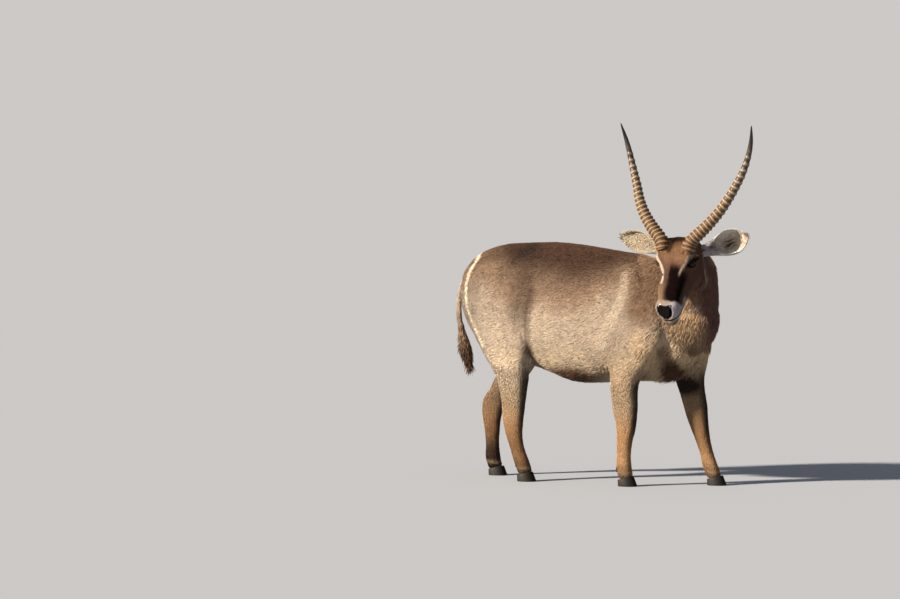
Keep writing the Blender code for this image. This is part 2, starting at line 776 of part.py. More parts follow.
def room_for(piece, reach=None):
    """The hull of a seated piece's buried end, grown by the gap, used to clear its seat."""
    bm = bmesh.new()
    for vertex in piece.data.vertices:
        if reach is None or reach(vertex.co):
            bm.verts.new(vertex.co)
    made = bmesh.ops.convex_hull(bm, input=bm.verts)
    unused = set(made["geom_interior"] + made["geom_unused"])
    loose = [item for item in unused if isinstance(item, bmesh.types.BMVert)]
    bmesh.ops.delete(bm, geom=loose, context="VERTS")
    bmesh.ops.recalc_face_normals(bm, faces=bm.faces)
    bm.normal_update()
    moved = [(vertex, vertex.co + vertex.normal * SEAT_GAP) for vertex in bm.verts]
    for vertex, place in moved:
        vertex.co = place
    return as_guide(object_of(bm, "seat_" + piece.name))


# ---- build --------------------------------------------------------------------------------------------
def settle():
    """Moves the whole model so the origin lies under the middle of its box."""
    for obj in bpy.data.objects:
        if obj.type == "MESH":
            obj.data.transform(Matrix.Translation(FRAME_SHIFT))


def build():
    clear_scene()
    coat = finish_of("coat", (0.36, 0.27, 0.20), 0.85)
    ear_coat = finish_of("ear_coat", (0.62, 0.52, 0.44), 0.85)
    tail_coat = finish_of("tail_coat", (0.30, 0.22, 0.16), 0.85)
    horn_finish = finish_of("horn", (0.27, 0.19, 0.13), 0.45)
    hoof_finish = finish_of("hoof", (0.05, 0.04, 0.035), 0.5)
    eye_finish = finish_of("eye", (0.02, 0.012, 0.008), 0.08)
    flesh = part_flesh(make_flesh(), coat)
    head, trunk = flesh["head"], flesh["trunk"]
    for side in (1, -1):
        cut(head, room_for(make_horn(side, horn_finish), lambda co: co.z < HORN_SEAT_TOP))
        cut(head, room_for(make_eye(side, eye_finish)))
    for name, root, reach, opening, spread in EARS:
        places = on_head(*root), on_head(*root) + Vector(reach)
        ear = make_ear(name, *places, Vector(opening), spread, ear_coat)
        buried = places[0].lerp(places[1], EAR_BURIED)
        cut(head, room_for(ear, lambda co, a=places, b=buried: (co - b).dot(a[1] - a[0]) < 0))
    cut(trunk, room_for(make_tail(tail_coat), lambda co: co.z > TAIL_SEAT))
    make_hooves(hoof_finish)
    for obj in (head, trunk):
        close_up(obj)
    settle()


build()
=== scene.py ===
"""A common waterbuck bull, standing with its head turned: skin, coat, eyes, horns, ears and feet."""

import math
from contextlib import contextmanager

import bmesh
import bpy
import numpy as np
from mathutils import Matrix, Vector
from mathutils.bvhtree import BVHTree


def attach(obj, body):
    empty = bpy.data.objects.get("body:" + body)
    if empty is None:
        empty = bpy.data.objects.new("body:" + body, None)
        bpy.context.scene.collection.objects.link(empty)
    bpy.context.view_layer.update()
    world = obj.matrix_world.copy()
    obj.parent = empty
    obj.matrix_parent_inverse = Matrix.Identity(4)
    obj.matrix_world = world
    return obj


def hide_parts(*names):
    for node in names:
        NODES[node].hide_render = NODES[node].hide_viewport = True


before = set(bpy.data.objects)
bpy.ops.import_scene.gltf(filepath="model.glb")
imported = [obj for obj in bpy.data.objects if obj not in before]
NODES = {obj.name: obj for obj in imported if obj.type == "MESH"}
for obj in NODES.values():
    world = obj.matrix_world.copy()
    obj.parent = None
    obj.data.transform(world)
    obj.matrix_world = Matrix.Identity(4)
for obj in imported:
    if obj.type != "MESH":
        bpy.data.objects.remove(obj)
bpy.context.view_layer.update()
ROOT = "root"

# ---- places ----
# The bull is laid out facing +X with its feet on the floor, then shifted so its box is centred.
SHIFT = np.array((-0.260, 0.064, 0.0))
POLL = np.array((0.8035, -0.220, 1.2906))
HEAD_TURN, HEAD_DIP, HEAD_LEAN = -97.5, 69.0, -1.5
EYE_RADIUS = 0.0252
EYE_SPOT = (0.0860, 0.022, 0.098)  # left, crown, nose
EYE_OUT = (0.955, 0.20, 0.22)  # the way the eye looks out: left, crown, nose
LID_RUN = (-0.27, 0.50, 0.84)  # the way the slit between the lids runs
LID_HALF_LENGTH = 0.0225
LID_RISE, LID_DROP = 0.0125, 0.0110
LID_ROUNDNESS = 1.7
CLEAR_FRONT = 0.70  # share of the radius where the clear front starts
CLEAR_SWELL = 0.0016
HORN_LINE = [  # left, crown, above the poll
    (0.078, 0.062, -0.045),
    (0.096, 0.074, 0.004),
    (0.157, 0.086, 0.064),
    (0.220, 0.097, 0.133),
    (0.270, 0.104, 0.209),
    (0.308, 0.108, 0.292),
    (0.344, 0.121, 0.373),
    (0.373, 0.145, 0.453),
    (0.396, 0.184, 0.528),
    (0.414, 0.239, 0.596),
]
HORN_RADIUS = 0.0375
HORN_RINGS = 23
RING_STEPS, TIP_STEPS, LINE_STEPS = 8, 16, 8
HORN_SIDES = 28
RINGED_SHARE = 0.85  # of the horn's length, the rest is a smooth tip
RING_DEPTH = 0.19
RING_WIDTH = 0.20
TIP_RADIUS = 0.0022
FEET = {  # middle of each foot: x, y
    "front_right": (0.442, -0.156),
    "front_left": (0.828, 0.142),
    "hind_right": (-0.180, -0.146),
    "hind_left": (-0.517, 0.136),
}
DEWCLAW_SPOT = (-0.052, 0.017, 0.088)  # from the middle of the foot: x, to either side, up
LEGS = [f"leg_{leg}_{length}" for leg in FEET for length in ("upper", "lower")]
FLESH = ["trunk", "neck", "head", "tail"] + LEGS
EARS = ["ear_left", "ear_right"]
HOOVES = [f"hoof_{leg}_{toe}" for leg in FEET for toe in ("left", "right")]
PARTS = FLESH + EARS
HEAD = PARTS.index("head")

SKIN_VOXEL = 0.0113
SKIN_SWELL = 0.0014
SKIN_SHADE = 0.88  # the skin is a little darker than the coat that covers it
SEED = 11


def head_axes():
    """Rows: the head's left, the way its forehead faces, and the way its nose points."""
    turn, dip = math.radians(HEAD_TURN), math.radians(HEAD_DIP)
    facing = Vector((math.cos(turn), math.sin(turn), 0.0))
    upward = Vector((0.0, 0.0, 1.0))
    nose = facing * math.cos(dip) - upward * math.sin(dip)
    crown = facing * math.sin(dip) + upward * math.cos(dip)
    lean = Matrix.Rotation(math.radians(HEAD_LEAN), 3, facing)
    return np.array([lean @ upward.cross(facing), lean @ crown, lean @ nose])


HEAD_AXES = head_axes()
LEFT, CROWN, NOSE = HEAD_AXES


def on_head(left, crown, nose):
    """A point given from the poll, in the frame's metres."""
    return Vector(POLL + SHIFT + LEFT * left + CROWN * crown + NOSE * nose)


def eye_middle(side):
    left, crown, nose = EYE_SPOT
    return on_head(side * left, crown, nose)


def eye_out(side):
    """The way an eye looks out, in the frame."""
    left, crown, nose = EYE_OUT
    return unit((LEFT * side * left + CROWN * crown + NOSE * nose)[None])[0]


def body_places(places):
    return places - SHIFT


def head_places(places):
    return (places - SHIFT - POLL) @ HEAD_AXES.T


# ---- small helpers ----
def deselect():
    for other in bpy.context.selected_objects:
        other.select_set(False)


def pick(*pieces):
    deselect()
    for piece in pieces:
        piece.select_set(True)
    bpy.context.view_layer.objects.active = pieces[0]


@contextmanager
def editing(piece):
    """Edit mode on one piece, with the whole of it selected."""
    pick(piece)
    bpy.ops.object.mode_set(mode="EDIT")
    bpy.ops.mesh.select_all(action="SELECT")
    yield
    bpy.ops.object.mode_set(mode="OBJECT")


def added(name):
    """The primitive that was just added, under its own name."""
    piece = bpy.context.active_object
    piece.name = name
    piece.data.name = name
    return piece


def settle(piece):
    """Puts the piece's place into its mesh."""
    pick(piece)
    bpy.ops.object.transform_apply(location=True, rotation=True, scale=True)


def apply_modifier(piece, kind, **values):
    pick(piece)
    modifier = piece.modifiers.new(kind.lower(), kind)
    for key, value in values.items():
        setattr(modifier, key, value)
    bpy.ops.object.modifier_apply(modifier=modifier.name)


def copy_of_node(node, name):
    piece = bpy.data.objects.new(name, NODES[node].data.copy())
    bpy.context.scene.collection.objects.link(piece)
    piece.data.materials.clear()
    with editing(piece):
        bpy.ops.mesh.remove_doubles(threshold=1e-5)
    return piece


def joined(pieces, name):
    pick(*pieces)
    bpy.ops.object.join()
    return added(name)


def vectors_of(mesh, kind):
    flat = np.empty(len(mesh.vertices) * 3, np.float32)
    mesh.vertices.foreach_get(kind, flat)
    return flat.reshape(-1, 3).astype(float)


def places_of(mesh):
    return vectors_of(mesh, "co")


def normals_of(mesh):
    return vectors_of(mesh, "normal")


def set_places(mesh, places):
    mesh.vertices.foreach_set("co", places.astype(np.float32).ravel())
    mesh.update()


def unit(vectors):
    length = np.linalg.norm(vectors, axis=-1, keepdims=True)
    return vectors / np.maximum(length, 1e-9)


def fade(low, high, value):
    """0 below low, 1 above high, smooth between."""
    t = np.clip((value - low) / (high - low), 0.0, 1.0)
    return t * t * (3.0 - 2.0 * t)


def falls(low, high, value):
    """1 below low, 0 above high, smooth between."""
    return 1.0 - fade(low, high, value)


def bell(value, middle, width):
    """1 at the middle, dying away to either side."""
    return np.exp(-(((value - middle) / width) ** 2))


def spot(points, middle, reach):
    """1 at the middle, dying away past the reach, which has one number for each direction."""
    away = (points - np.array(middle)) / np.array(reach)
    return np.exp(-(away**2).sum(axis=1))


def line_distance(points, path):
    path = np.array(path, float)
    best = np.full(len(points), 1e9)
    for start, end in zip(path[:-1], path[1:]):
        run = end - start
        t = np.clip(((points - start) @ run) / (run @ run), 0.0, 1.0)
        best = np.minimum(best, np.linalg.norm(points - start - t[:, None] * run, axis=1))
    return best


def stroke(points, path, width):
    """1 along a line, fading out at its width."""
    return falls(width * 0.35, width, line_distance(points, path))


def ripple(places, scale, turn=0.0):
    """A cheap smooth noise from -1 to 1, the same each run."""
    x, y, z = (places * scale).T
    total = np.sin(x * 1.7 + 2.3 * np.sin(y * 1.1 + turn) + turn)
    total += np.sin(y * 1.9 + 1.7 * np.sin(z * 1.3 + turn * 2.0) + 1.1)
    total += np.sin(z * 1.5 + 2.1 * np.sin(x * 0.9 + turn * 3.0) + 2.7)
    return total / 3.0


def one_sided(places, axis, sign=1.0):
    """The places with left and right folded onto one side."""
    near = places.copy()
    near[:, axis] = sign * np.abs(near[:, axis])
    return near


def mixed(base, colour, weight):
    return base + (np.array(colour) - base) * np.clip(weight, 0.0, 1.0)[:, None]


def layered(base, count, *layers):
    """A colour for each place: the base, then each layer's colour by its weight there."""
    colour = np.tile(base, (count, 1)).astype(float)
    for own, weight in layers:
        colour = mixed(colour, own, weight)
    return colour


# ---- markings: one rule for skin and coat ----
TAUPE = (0.054, 0.025, 0.014)
FAWN = (0.284, 0.190, 0.126)
PALE_FLANK = (0.455, 0.365, 0.280)
CREAM = (0.440, 0.348, 0.245)
BUFF = (0.520, 0.385, 0.250)
RING_WHITE = (0.960, 0.850, 0.660)
SPOT_BROWN = (0.026, 0.012, 0.008)
BELLY_BROWN = (0.085, 0.040, 0.017)
NECK_BROWN = (0.235, 0.145, 0.092)
NECK_DARK = (0.142, 0.072, 0.058)
BRISKET_DARK = (0.072, 0.034, 0.014)
LEG_OCHRE = (0.545, 0.325, 0.162)
HOCK_BROWN = (0.180, 0.088, 0.036)
LEG_DARK = (0.022, 0.012, 0.008)
FACE_BROWN = (0.140, 0.078, 0.058)
RUFOUS = (0.340, 0.190, 0.108)
BRIDGE_DARK = (0.0095, 0.0048, 0.0048)
LID_BLACK = (0.006, 0.005, 0.004)
# painted shade inside the nostril slits
NOSTRIL_SHADE = (0.0024, 0.0020, 0.0016)
CHIN_BROWN = (0.200, 0.140, 0.095)
WHITE_HAIR = (0.520, 0.450, 0.370)
STREAK_WHITE = (0.640, 0.560, 0.460)
NOSE_BLACK = (0.0035, 0.0032, 0.0032)
TAIL_BROWN = (0.120, 0.062, 0.034)
CHEST_GOLD = (0.660, 0.480, 0.300)
PALE_STREAK = (0.640, 0.530, 0.410)
MUZZLE_WHITE = (0.370, 0.295, 0.238)
# painted shade: white hair as it looks in cool shade, for the muzzle's left side
MUZZLE_SHADE_TINT = (0.475, 0.430, 0.465)
THROAT_BUFF = (0.420, 0.285, 0.165)
EAR_CREAM = (0.460, 0.385, 0.290)
EAR_DARK = (0.045, 0.028, 0.022)
RIM_WHITE = (0.900, 0.850, 0.760)
EAR_GREY = (0.540, 0.490, 0.510)

BROW_LINE = [  # left and nose, seen from above the face
    (0.052, 0.184),
    (0.060, 0.155),
    (0.075, 0.118),
    (0.090, 0.094),
    (0.101, 0.072),
]
BROW_END = [(0.098, 0.060, 0.078), (0.106, 0.030, 0.056), (0.105, -0.005, 0.049)]
FAR_BROW_LINE = [
    (-0.108, 0.052),
    (-0.103, 0.072),
    (-0.095, 0.094),
    (-0.080, 0.118),
    (-0.063, 0.140),
    (-0.048, 0.165),
    (-0.042, 0.185),
    (-0.040, 0.206),
    (-0.041, 0.230),
]
BIB_LINE = [
    (0.093, -0.060, 0.040),
    (0.094, -0.089, 0.069),
    (0.088, -0.162, 0.127),
    (0.060, -0.203, 0.210),
    (0.000, -0.215, 0.265),
]
RUMP_RING = [
    (-0.520, 0.000, 1.244),
    (-0.512, -0.050, 1.236),
    (-0.498, -0.096, 1.214),
    (-0.530, -0.140, 1.142),
    (-0.545, -0.162, 1.048),
    (-0.526, -0.184, 0.966),
    (-0.494, -0.200, 0.900),
    (-0.458, -0.213, 0.840),
    (-0.424, -0.220, 0.785),
    (-0.404, -0.220, 0.750),
]
CREASE_LINE = [  # where the haunch meets the flank, darkened there with painted shade
    (-0.085, -0.238, 1.05),
    (-0.100, -0.240, 0.93),
    (-0.118, -0.235, 0.82),
    (-0.135, -0.170, 0.70),
]
CREASE_LEAN = 0.14  # how far back it runs for each metre down
BRISKET_LINE = [
    (0.658, -0.145, 0.742),
    (0.674, -0.120, 0.705),
    (0.690, -0.080, 0.660),
    (0.692, -0.040, 0.620),
]
# painted highlight: a pale line along the ridge of the shoulder blade
SHOULDER_RIDGE_HIGHLIGHT = [
    (0.463, -0.196, 1.149),
    (0.461, -0.225, 1.054),
    (0.421, -0.230, 0.947),
    (0.365, -0.238, 0.839),
    (0.336, -0.227, 0.758),
]
PARTING_LINE = [(-0.036, -0.030), (-0.030, 0.050)]  # left and nose
TEMPLE_LINE = [(0.070, 0.070, 0.020), (0.060, 0.076, 0.070)]
TEAR_LINES = [  # the dark corners of the lids, in front and behind: dark skin with painted shade
    [(0.080, 0.034, 0.116), (0.072, 0.042, 0.141)],
    [(0.094, 0.008, 0.076), (0.103, -0.008, 0.062)],
]
NOSTRIL_LINE = [(0.041, 0.036), (0.041, 0.024), (0.034, 0.013), (0.022, 0.009)]  # left, crown
MOUTH_LINE = [  # crown, nose
    (-0.012, 0.430),
    (-0.014, 0.405),
    (-0.021, 0.385),
    (-0.030, 0.358),
    (-0.040, 0.322),
    (-0.042, 0.292),
]


def eye_chart(head):
    """Along the lids, across them, and how far out of the socket, for points in the head's frame."""
    away = one_sided(head, 0) - np.array(EYE_SPOT)
    out = unit(np.array([EYE_OUT]))[0]
    along = np.array(LID_RUN)
    along = along - out * (along @ out)
    along = along / np.linalg.norm(along)
    across = np.cross(along, out)
    return away @ along, away @ across, away @ out, away


LEG_TOPS = [  # x, y and reach
    (0.445, -0.158, 0.10),
    (0.655, 0.147, 0.10),
    (-0.300, -0.148, 0.14),
    (-0.390, 0.138, 0.14),
]


def leg_share(body):
    """How much of a place on the trunk belongs to the top of a leg."""
    share = np.zeros(len(body))
    for x, y, reach in LEG_TOPS:
        away = np.hypot(body[:, 0] - x, body[:, 1] - y)
        share = np.maximum(share, falls(reach, reach + 0.06, away))
    return share * falls(0.60, 0.76, body[:, 2])


def trunk_colours(body):
    near = one_sided(body, 1, -1.0)
    x, _, z = near.T
    wander = 0.030 * ripple(near, 9.0) + 0.012 * ripple(near, 31.0, 1.0)
    height = z + wander
    saddle = 0.06 * spot(near, (0.10, -0.2, 1.10), (0.30, 9.0, 0.30)) - 0.075 * falls(-0.42, -0.22, x)
    saddle = saddle - 0.07 * spot(near, (0.42, -0.2, 1.00), (0.14, 9.0, 0.16))
    front = fade(0.44, 0.56, x + wander)
    crease_x, _, crease_top = CREASE_LINE[0]
    behind = crease_x - CREASE_LEAN * (crease_top - z) - x
    haunch = fade(-0.012, 0.014, behind) * falls(0.06, 0.19, behind) * fade(0.78, 0.92, z + wander)
    fold = falls(-0.014, 0.010, behind) * falls(0.05, 0.17, -behind)
    seat = fade(0.02, 0.06, -0.520 - x) * falls(0.06, 0.10, np.abs(body[:, 1]))
    # painted shade: a dark patch under the chest, between the forelegs
    painted_brisket_shade = 0.52 * stroke(body, BRISKET_LINE, 0.058 + 0.6 * wander)
    painted_brisket_shade = painted_brisket_shade + spot(body, (0.690, 0.000, 0.625), (0.060, 0.160, 0.055))
    return layered(
        PALE_FLANK,
        len(body),
        (CREAM, falls(0.62, 0.80, height)),
        (FAWN, fade(0.90, 1.08, height + saddle)),
        (TAUPE, fade(1.03, 1.27, height + saddle)),
        (PALE_STREAK, 0.60 * falls(-0.40, -0.10, x) * falls(0.76, 0.96, height)),
        (NECK_BROWN, front * fade(0.80, 1.00, height)),
        (CHEST_GOLD, 0.85 * front * falls(0.72, 0.90, height)),
        (SPOT_BROWN, 1.1 * spot(near, (-0.178, -0.08, 1.258), (0.072, 0.15, 0.052))),
        # painted highlight along the ridge of the shoulder blade
        (PALE_STREAK, 0.60 * stroke(near, SHOULDER_RIDGE_HIGHLIGHT, 0.040)),
        (TAUPE, 0.56 * haunch * falls(1.06, 1.20, z)),
        (PALE_STREAK, 0.35 * fold * fade(0.76, 0.88, z) * falls(0.92, 1.02, z + wander)),
        # painted shade in the crease between haunch and flank, and in the fold below it
        (TAUPE, 0.50 * stroke(near, CREASE_LINE, 0.034)),
        (TAUPE, 1.1 * spot(near, (-0.132, -0.190, 0.715), (0.030, 0.090, 0.050))),
        (BELLY_BROWN, 1.7 * spot(near, (0.115, -0.125, 0.582), (0.150, 0.120, 0.050))),
        (RING_WHITE, stroke(near, RUMP_RING, 0.021) * (1.0 - 0.35 * fade(1.16, 1.22, z))),
        (FAWN, 0.6 * seat),
        (BRISKET_DARK, 1.2 * painted_brisket_shade),
    )


def neck_colours(body, head):
    wander = 0.014 * ripple(body, 22.0) + 0.008 * ripple(body, 60.0, 1.4)
    ahead = body[:, 0] + wander
    throat = spot(body, (0.765, -0.130, 0.870), (0.095, 0.075, 0.125))
    # painted shade: a dark patch under the chest, between the forelegs
    painted_brisket_shade = spot(body, (0.700, -0.02, 0.620), (0.080, 0.200, 0.060))
    painted_brisket_shade = painted_brisket_shade + spot(body, (0.800, -0.09, 0.735), (0.040, 0.040, 0.045))
    return layered(
        NECK_BROWN,
        len(body),
        (NECK_DARK, fade(0.835, 0.870, ahead)),
        (THROAT_BUFF, 1.3 * throat * falls(0.850, 0.875, ahead)),
        (BRISKET_DARK, 1.2 * painted_brisket_shade),
        (WHITE_HAIR, 0.60 * stroke(one_sided(head, 0), BIB_LINE, 0.014)),
    )


def head_colours(head):
    near = one_sided(head, 0)
    side, flat = head[:, 0], head[:, ::2]
    left, crown, nose = near.T
    wander = 0.006 * ripple(head, 40.0) + 0.003 * ripple(head, 110.0, 2.0)
    ragged = nose + wander
    red = spot(near, (0.035, 0.080, 0.055), (0.055, 0.060, 0.075)) * (1.0 - 0.4 * fade(-0.03, 0.03, -side))
    parting = stroke(flat, PARTING_LINE, 0.030) * fade(0.030, 0.042, crown)
    spread = 0.35 + 0.65 * fade(0.10, 0.20, nose)
    # the dark bridge of the nose, laid only on its left half and spread over the left cheek: its own dark
    # hair, and painted shade on that side
    bridge_and_painted_shade = fade(0.105, 0.165, ragged) * falls(0.318, 0.334, ragged)
    bridge_and_painted_shade = bridge_and_painted_shade * fade(-0.016, 0.012, side / spread + wander) * fade(-0.01, 0.03, crown)
    bridge_and_painted_shade = bridge_and_painted_shade * falls(0.064 * spread, 0.132 * spread, left + wander)
    # the left streak is kept weak and the right one wider and stronger: painted shade dims the left side
    # of the face
    brow = (0.50 - 0.10 * fade(0.150, 0.185, nose)) * stroke(flat, BROW_LINE, 0.0080)
    brow = brow * fade(0.034, 0.042, crown)
    far_brow = 1.2 * stroke(flat, FAR_BROW_LINE, 0.0110) * fade(0.016, 0.026, crown)
    brow = np.maximum.reduce([brow, far_brow, 0.45 * stroke(near, BROW_END, 0.0075)])
    along, across, _, _ = eye_chart(head)
    # dark skin round the eye and at the corners of the lids: partly its own dark skin, partly painted
    # shade in the socket
    lids = np.sqrt((along / 0.035) ** 2 + (across / 0.021) ** 2)
    tears = np.maximum.reduce([stroke(near, line, 0.011) for line in TEAR_LINES])
    # painted light: the lower right side of the face, turned to the key light, is lightened towards buff
    painted_lit_side = fade(0.19, 0.29, nose) * fade(0.010, 0.030, -side) * fade(0.02, 0.04, crown)
    jowl = fade(0.262, 0.300, ragged) * falls(-0.030, -0.012, crown)
    muzzle = np.maximum(fade(0.314, 0.330, ragged), jowl)
    chin = fade(0.384, 0.398, nose) * falls(-0.034, -0.022, crown)
    return layered(
        FACE_BROWN,
        len(head),
        (NECK_BROWN, 0.5 * falls(-0.10, -0.04, crown)),
        (RUFOUS, 1.5 * red),
        (BRIDGE_DARK, 0.85 * spot(near, (0.0, 0.070, -0.022), (0.046, 0.070, 0.044))),
        (BRIDGE_DARK, 0.80 * parting),
        (BRIDGE_DARK, 0.55 * stroke(head, TEMPLE_LINE, 0.014)),
        (BRIDGE_DARK, bridge_and_painted_shade),
        (STREAK_WHITE, brow * fade(0.0, 0.004, 0.006 + wander)),
        (WHITE_HAIR, 0.45 * stroke(near, BIB_LINE, 0.012)),
        (LID_BLACK, np.maximum(falls(0.85, 1.15, lids), 0.9 * tears)),
        (THROAT_BUFF, 0.55 * painted_lit_side),
        (MUZZLE_WHITE, muzzle),
        # painted shade: the muzzle's left side takes the cool grey of white hair in shade
        (MUZZLE_SHADE_TINT, muzzle * fade(0.024, 0.050, side)),
        (NOSE_BLACK, mouth_share(head)),
        (CHIN_BROWN, 0.75 * chin),
        (NOSE_BLACK, nose_pad(head)),
        # painted shade inside the nostril slits
        (NOSTRIL_SHADE, falls(0.003, 0.007, nostril_distance(head)) * fade(0.335, 0.350, nose)),
    )


def mouth_share(head):
    """1 on the line of the mouth."""
    return falls(0.003, 0.007, line_distance(head[:, 1:], MOUTH_LINE)) * fade(0.28, 0.30, head[:, 2])


def nose_pad(head):
    """1 on the bare pad of the nose."""
    left, crown, nose = np.abs(head[:, 0] - 0.003), head[:, 1], head[:, 2]
    edge = 0.0015 * ripple(head, 130.0)
    top = 0.350 - 0.18 * np.minimum(left, 0.050)
    half_width = 0.019 + 0.027 * fade(0.004, 0.030, crown)
    pad = fade(-0.004, 0.004, nose + edge - top) * falls(-0.003, 0.003, left + edge - half_width)
    return pad * fade(-0.002, 0.005, crown + edge)


def nostril_distance(head):
    """How far each place is from the curved slits of the nostrils, seen from in front."""
    return line_distance(np.stack([np.abs(head[:, 0]), head[:, 1]], axis=1), NOSTRIL_LINE)


def bare_skin(head, wet=False):
    """1 on the nose pad, the lids and the line of the mouth; lids and lips are less wet than the pad."""
    along, across, _, _ = eye_chart(head)
    lids = falls(0.75, 1.05, np.sqrt((along / 0.032) ** 2 + (across / 0.018) ** 2))
    lips = mouth_share(head)
    if wet:
        lids, lips = 0.08 * lids, 0.30 * lips
    return np.clip(np.maximum.reduce([lids, lips, nose_pad(head)]), 0.0, 1.0)


def leg_colours(body, normal):
    x, y, z = body.T
    wander = 0.020 * ripple(body, 18.0) + 0.010 * ripple(body, 50.0, 0.7)
    height = z + wander
    hind, on_left, on_right = x < 0.0, y > 0.0, y < 0.0
    below_elbow = falls(0.56, 0.68, height)
    # dark fronts of the lower legs: partly their own dark hair, partly painted shade on faces turned from
    # the key light
    shin_dark_and_painted_shade = 0.90 * fade(0.55, 1.00, normal[:, 0] + 3.0 * wander) * below_elbow
    shin_dark_and_painted_shade = shin_dark_and_painted_shade * (0.2 + 0.8 * fade(0.14, 0.34, z))
    # darker inner faces of the right legs: partly dark hair, partly painted shade
    inner_dark_and_painted_shade = 0.60 * fade(0.60, 0.95, -np.sign(y) * normal[:, 1]) * below_elbow * on_right
    # a painted shadow of the breast, dark on the top of the far foreleg
    painted_breast_shadow = np.minimum(1.0, 1.6 * spot(body, (0.655, 0.100, 0.545), (0.110, 0.090, 0.048)))
    cuff = fade(0.068, 0.074, z) * falls(0.082, 0.092, z + 0.2 * wander)
    return layered(
        BUFF,
        len(body),
        (PALE_FLANK, 0.4 * fade(0.55, 0.75, z)),
        (PALE_STREAK, 0.7 * hind * fade(0.44, 0.60, height)),
        (LEG_OCHRE, falls(0.28, 0.47, height)),
        (HOCK_BROWN, 0.55 * hind * falls(0.20, 0.36, height)),
        (HOCK_BROWN, 0.50 * on_left * falls(0.50, 0.66, height) * fade(0.10, 0.26, z)),
        (LEG_DARK, 0.90 * hind * on_left * falls(0.12, 0.28, height)),
        (HOCK_BROWN, 0.25 * hind * on_right * falls(0.14, 0.28, height)),
        (LEG_DARK, np.maximum.reduce([shin_dark_and_painted_shade, inner_dark_and_painted_shade, painted_breast_shadow])),
        (LEG_DARK, 0.6 * falls(0.060, 0.150, z + 0.5 * wander)),
        (BUFF, 0.35 * cuff),
    )


def tail_colours(body):
    z = body[:, 2] + 0.02 * ripple(body, 25.0)
    root, tuft = 0.80 * fade(0.84, 0.98, z), falls(0.70, 0.84, z)
    return layered(FAWN, len(body), (PALE_STREAK, root), (TAIL_BROWN, tuft))


EAR_SHAPES = {  # root, the reach from root to tip, and the way the cup opens
    "ear_left": (on_head(0.080, -0.045, 0.014), Vector((0.218, 0.125, 0.084)), (0.30, -0.95, 0.10)),
    "ear_right": (on_head(-0.094, -0.038, 0.018), Vector((-0.292, -0.030, 0.078)), (0.25, -0.95, -0.12)),
}
EAR_FANS = {"ear_left": (0.60, 1.2), "ear_right": (0.50, 0.48)}  # place along the cup, and strength
CUP_PAINTED_LIGHT = (2.2, 2.1, 2.3)  # painted light: the left cup is made this much lighter to offset the shade it lies in


def ear_chart(places, ear):
    """How far along the ear, how far off its middle line, and the ear's axis and opening."""
    root, reach, opening = EAR_SHAPES[ear]
    axis = np.array(reach.normalized())
    opening = np.array(opening) - axis * (np.array(opening) @ axis)
    opening = opening / np.linalg.norm(opening)
    away = places - np.array(root)
    along = (away @ axis) / reach.length
    side = away @ np.cross(axis, opening)
    return along, side, axis, opening


def ear_colours(places, normal, ear):
    along, side, _, opening = ear_chart(places, ear)
    wander = 0.03 * ripple(places, 60.0)
    ragged = along + wander
    back = layered(EAR_GREY, len(places), (EAR_DARK, fade(0.80, 0.92, ragged)))
    cup = layered(EAR_CREAM, len(places), (EAR_DARK, fade(0.92, 0.99, ragged)))
    if ear == "ear_left":
        # painted light: the left cup's colours are lightened against its shade
        cup = np.clip(cup * CUP_PAINTED_LIGHT, 0.0, 0.95)
    streaks = 0.5 + 0.5 * np.sin(side * 330.0 + along * 9.0 + 3.0 * ripple(places, 45.0))
    middle, strength = EAR_FANS[ear]
    fan = np.exp(-((side / 0.030) ** 2) - ((along - middle) / 0.15) ** 2) * (0.25 + 0.75 * streaks)
    cup = mixed(cup, EAR_DARK, strength * fan)
    if ear == "ear_left":
        cup = mixed(cup, EAR_GREY, falls(0.30, 0.36, ragged))
        rim = fade(0.026, 0.034, np.abs(side) + 0.1 * wander) * falls(0.84, 0.94, along)
        rim = np.maximum(rim, falls(0.40, 0.47, along)) * fade(0.32, 0.37, along)
        cup = mixed(cup, RIM_WHITE, rim)
    return back + (cup - back) * fade(-0.10, 0.35, normal @ opening)[:, None]


def ear_root_share(places):
    """1 on the stalk of an ear where it leaves the head."""
    share = np.zeros(len(places))
    for ear, (root, reach, _) in EAR_SHAPES.items():
        along = ear_chart(places, ear)[0]
        near = line_distance(places, [root + reach * 0.10, root + reach * 0.34])
        share = np.maximum(share, falls(0.028, 0.036, near) * fade(0.06, 0.13, along))
    return share


def parts_here(part):
    """The name of each part, and which of the places are on it."""
    for index, name in enumerate(PARTS):
        here = part == index
        if here.any():
            yield name, here


def markings(places, normal, part):
    """The colour of the coat at each place."""
    body, head = body_places(places), head_places(places)
    colour = np.zeros((len(places), 3))
    for name, here in parts_here(part):
        if name == "trunk":
            own = trunk_colours(body[here])
            low = leg_colours(body[here], normal[here])
            own = own + (low - own) * leg_share(body[here])[:, None]
        elif name == "neck":
            own = neck_colours(body[here], head[here])
        elif name == "head":
            own = mixed(head_colours(head[here]), EAR_GREY, ear_root_share(places[here]))
        elif name == "tail":
            own = tail_colours(body[here])
        elif name in EARS:
            own = ear_colours(places[here], normal[here], name)
        else:
            own = leg_colours(body[here], normal[here])
        colour[here] = own
    return colour


# ---- lie and length of the hair ----
HAIR = {  # length, width and lift of a tuft, and how many stand on a square metre
    "trunk": (0.030, 0.0034, 0.0034, 52000.0),
    "neck": (0.048, 0.0048, 0.0080, 38500.0),
    "head": (0.0095, 0.0019, 0.0010, 128000.0),
    "tail": (0.022, 0.0030, 0.0024, 70000.0),
    "ear": (0.010, 0.0024, 0.0010, 100000.0),
    "leg": (0.024, 0.0036, 0.0030, 42000.0),
}


def changed(base, weight, change):
    """The base with a change added by weight."""
    return np.array(base) + weight[:, None] * np.array(change)


def neck_joining(x):
    """1 at the foot of the neck, where its long hair runs into the coat of the trunk."""
    return falls(0.52, 0.68, x)


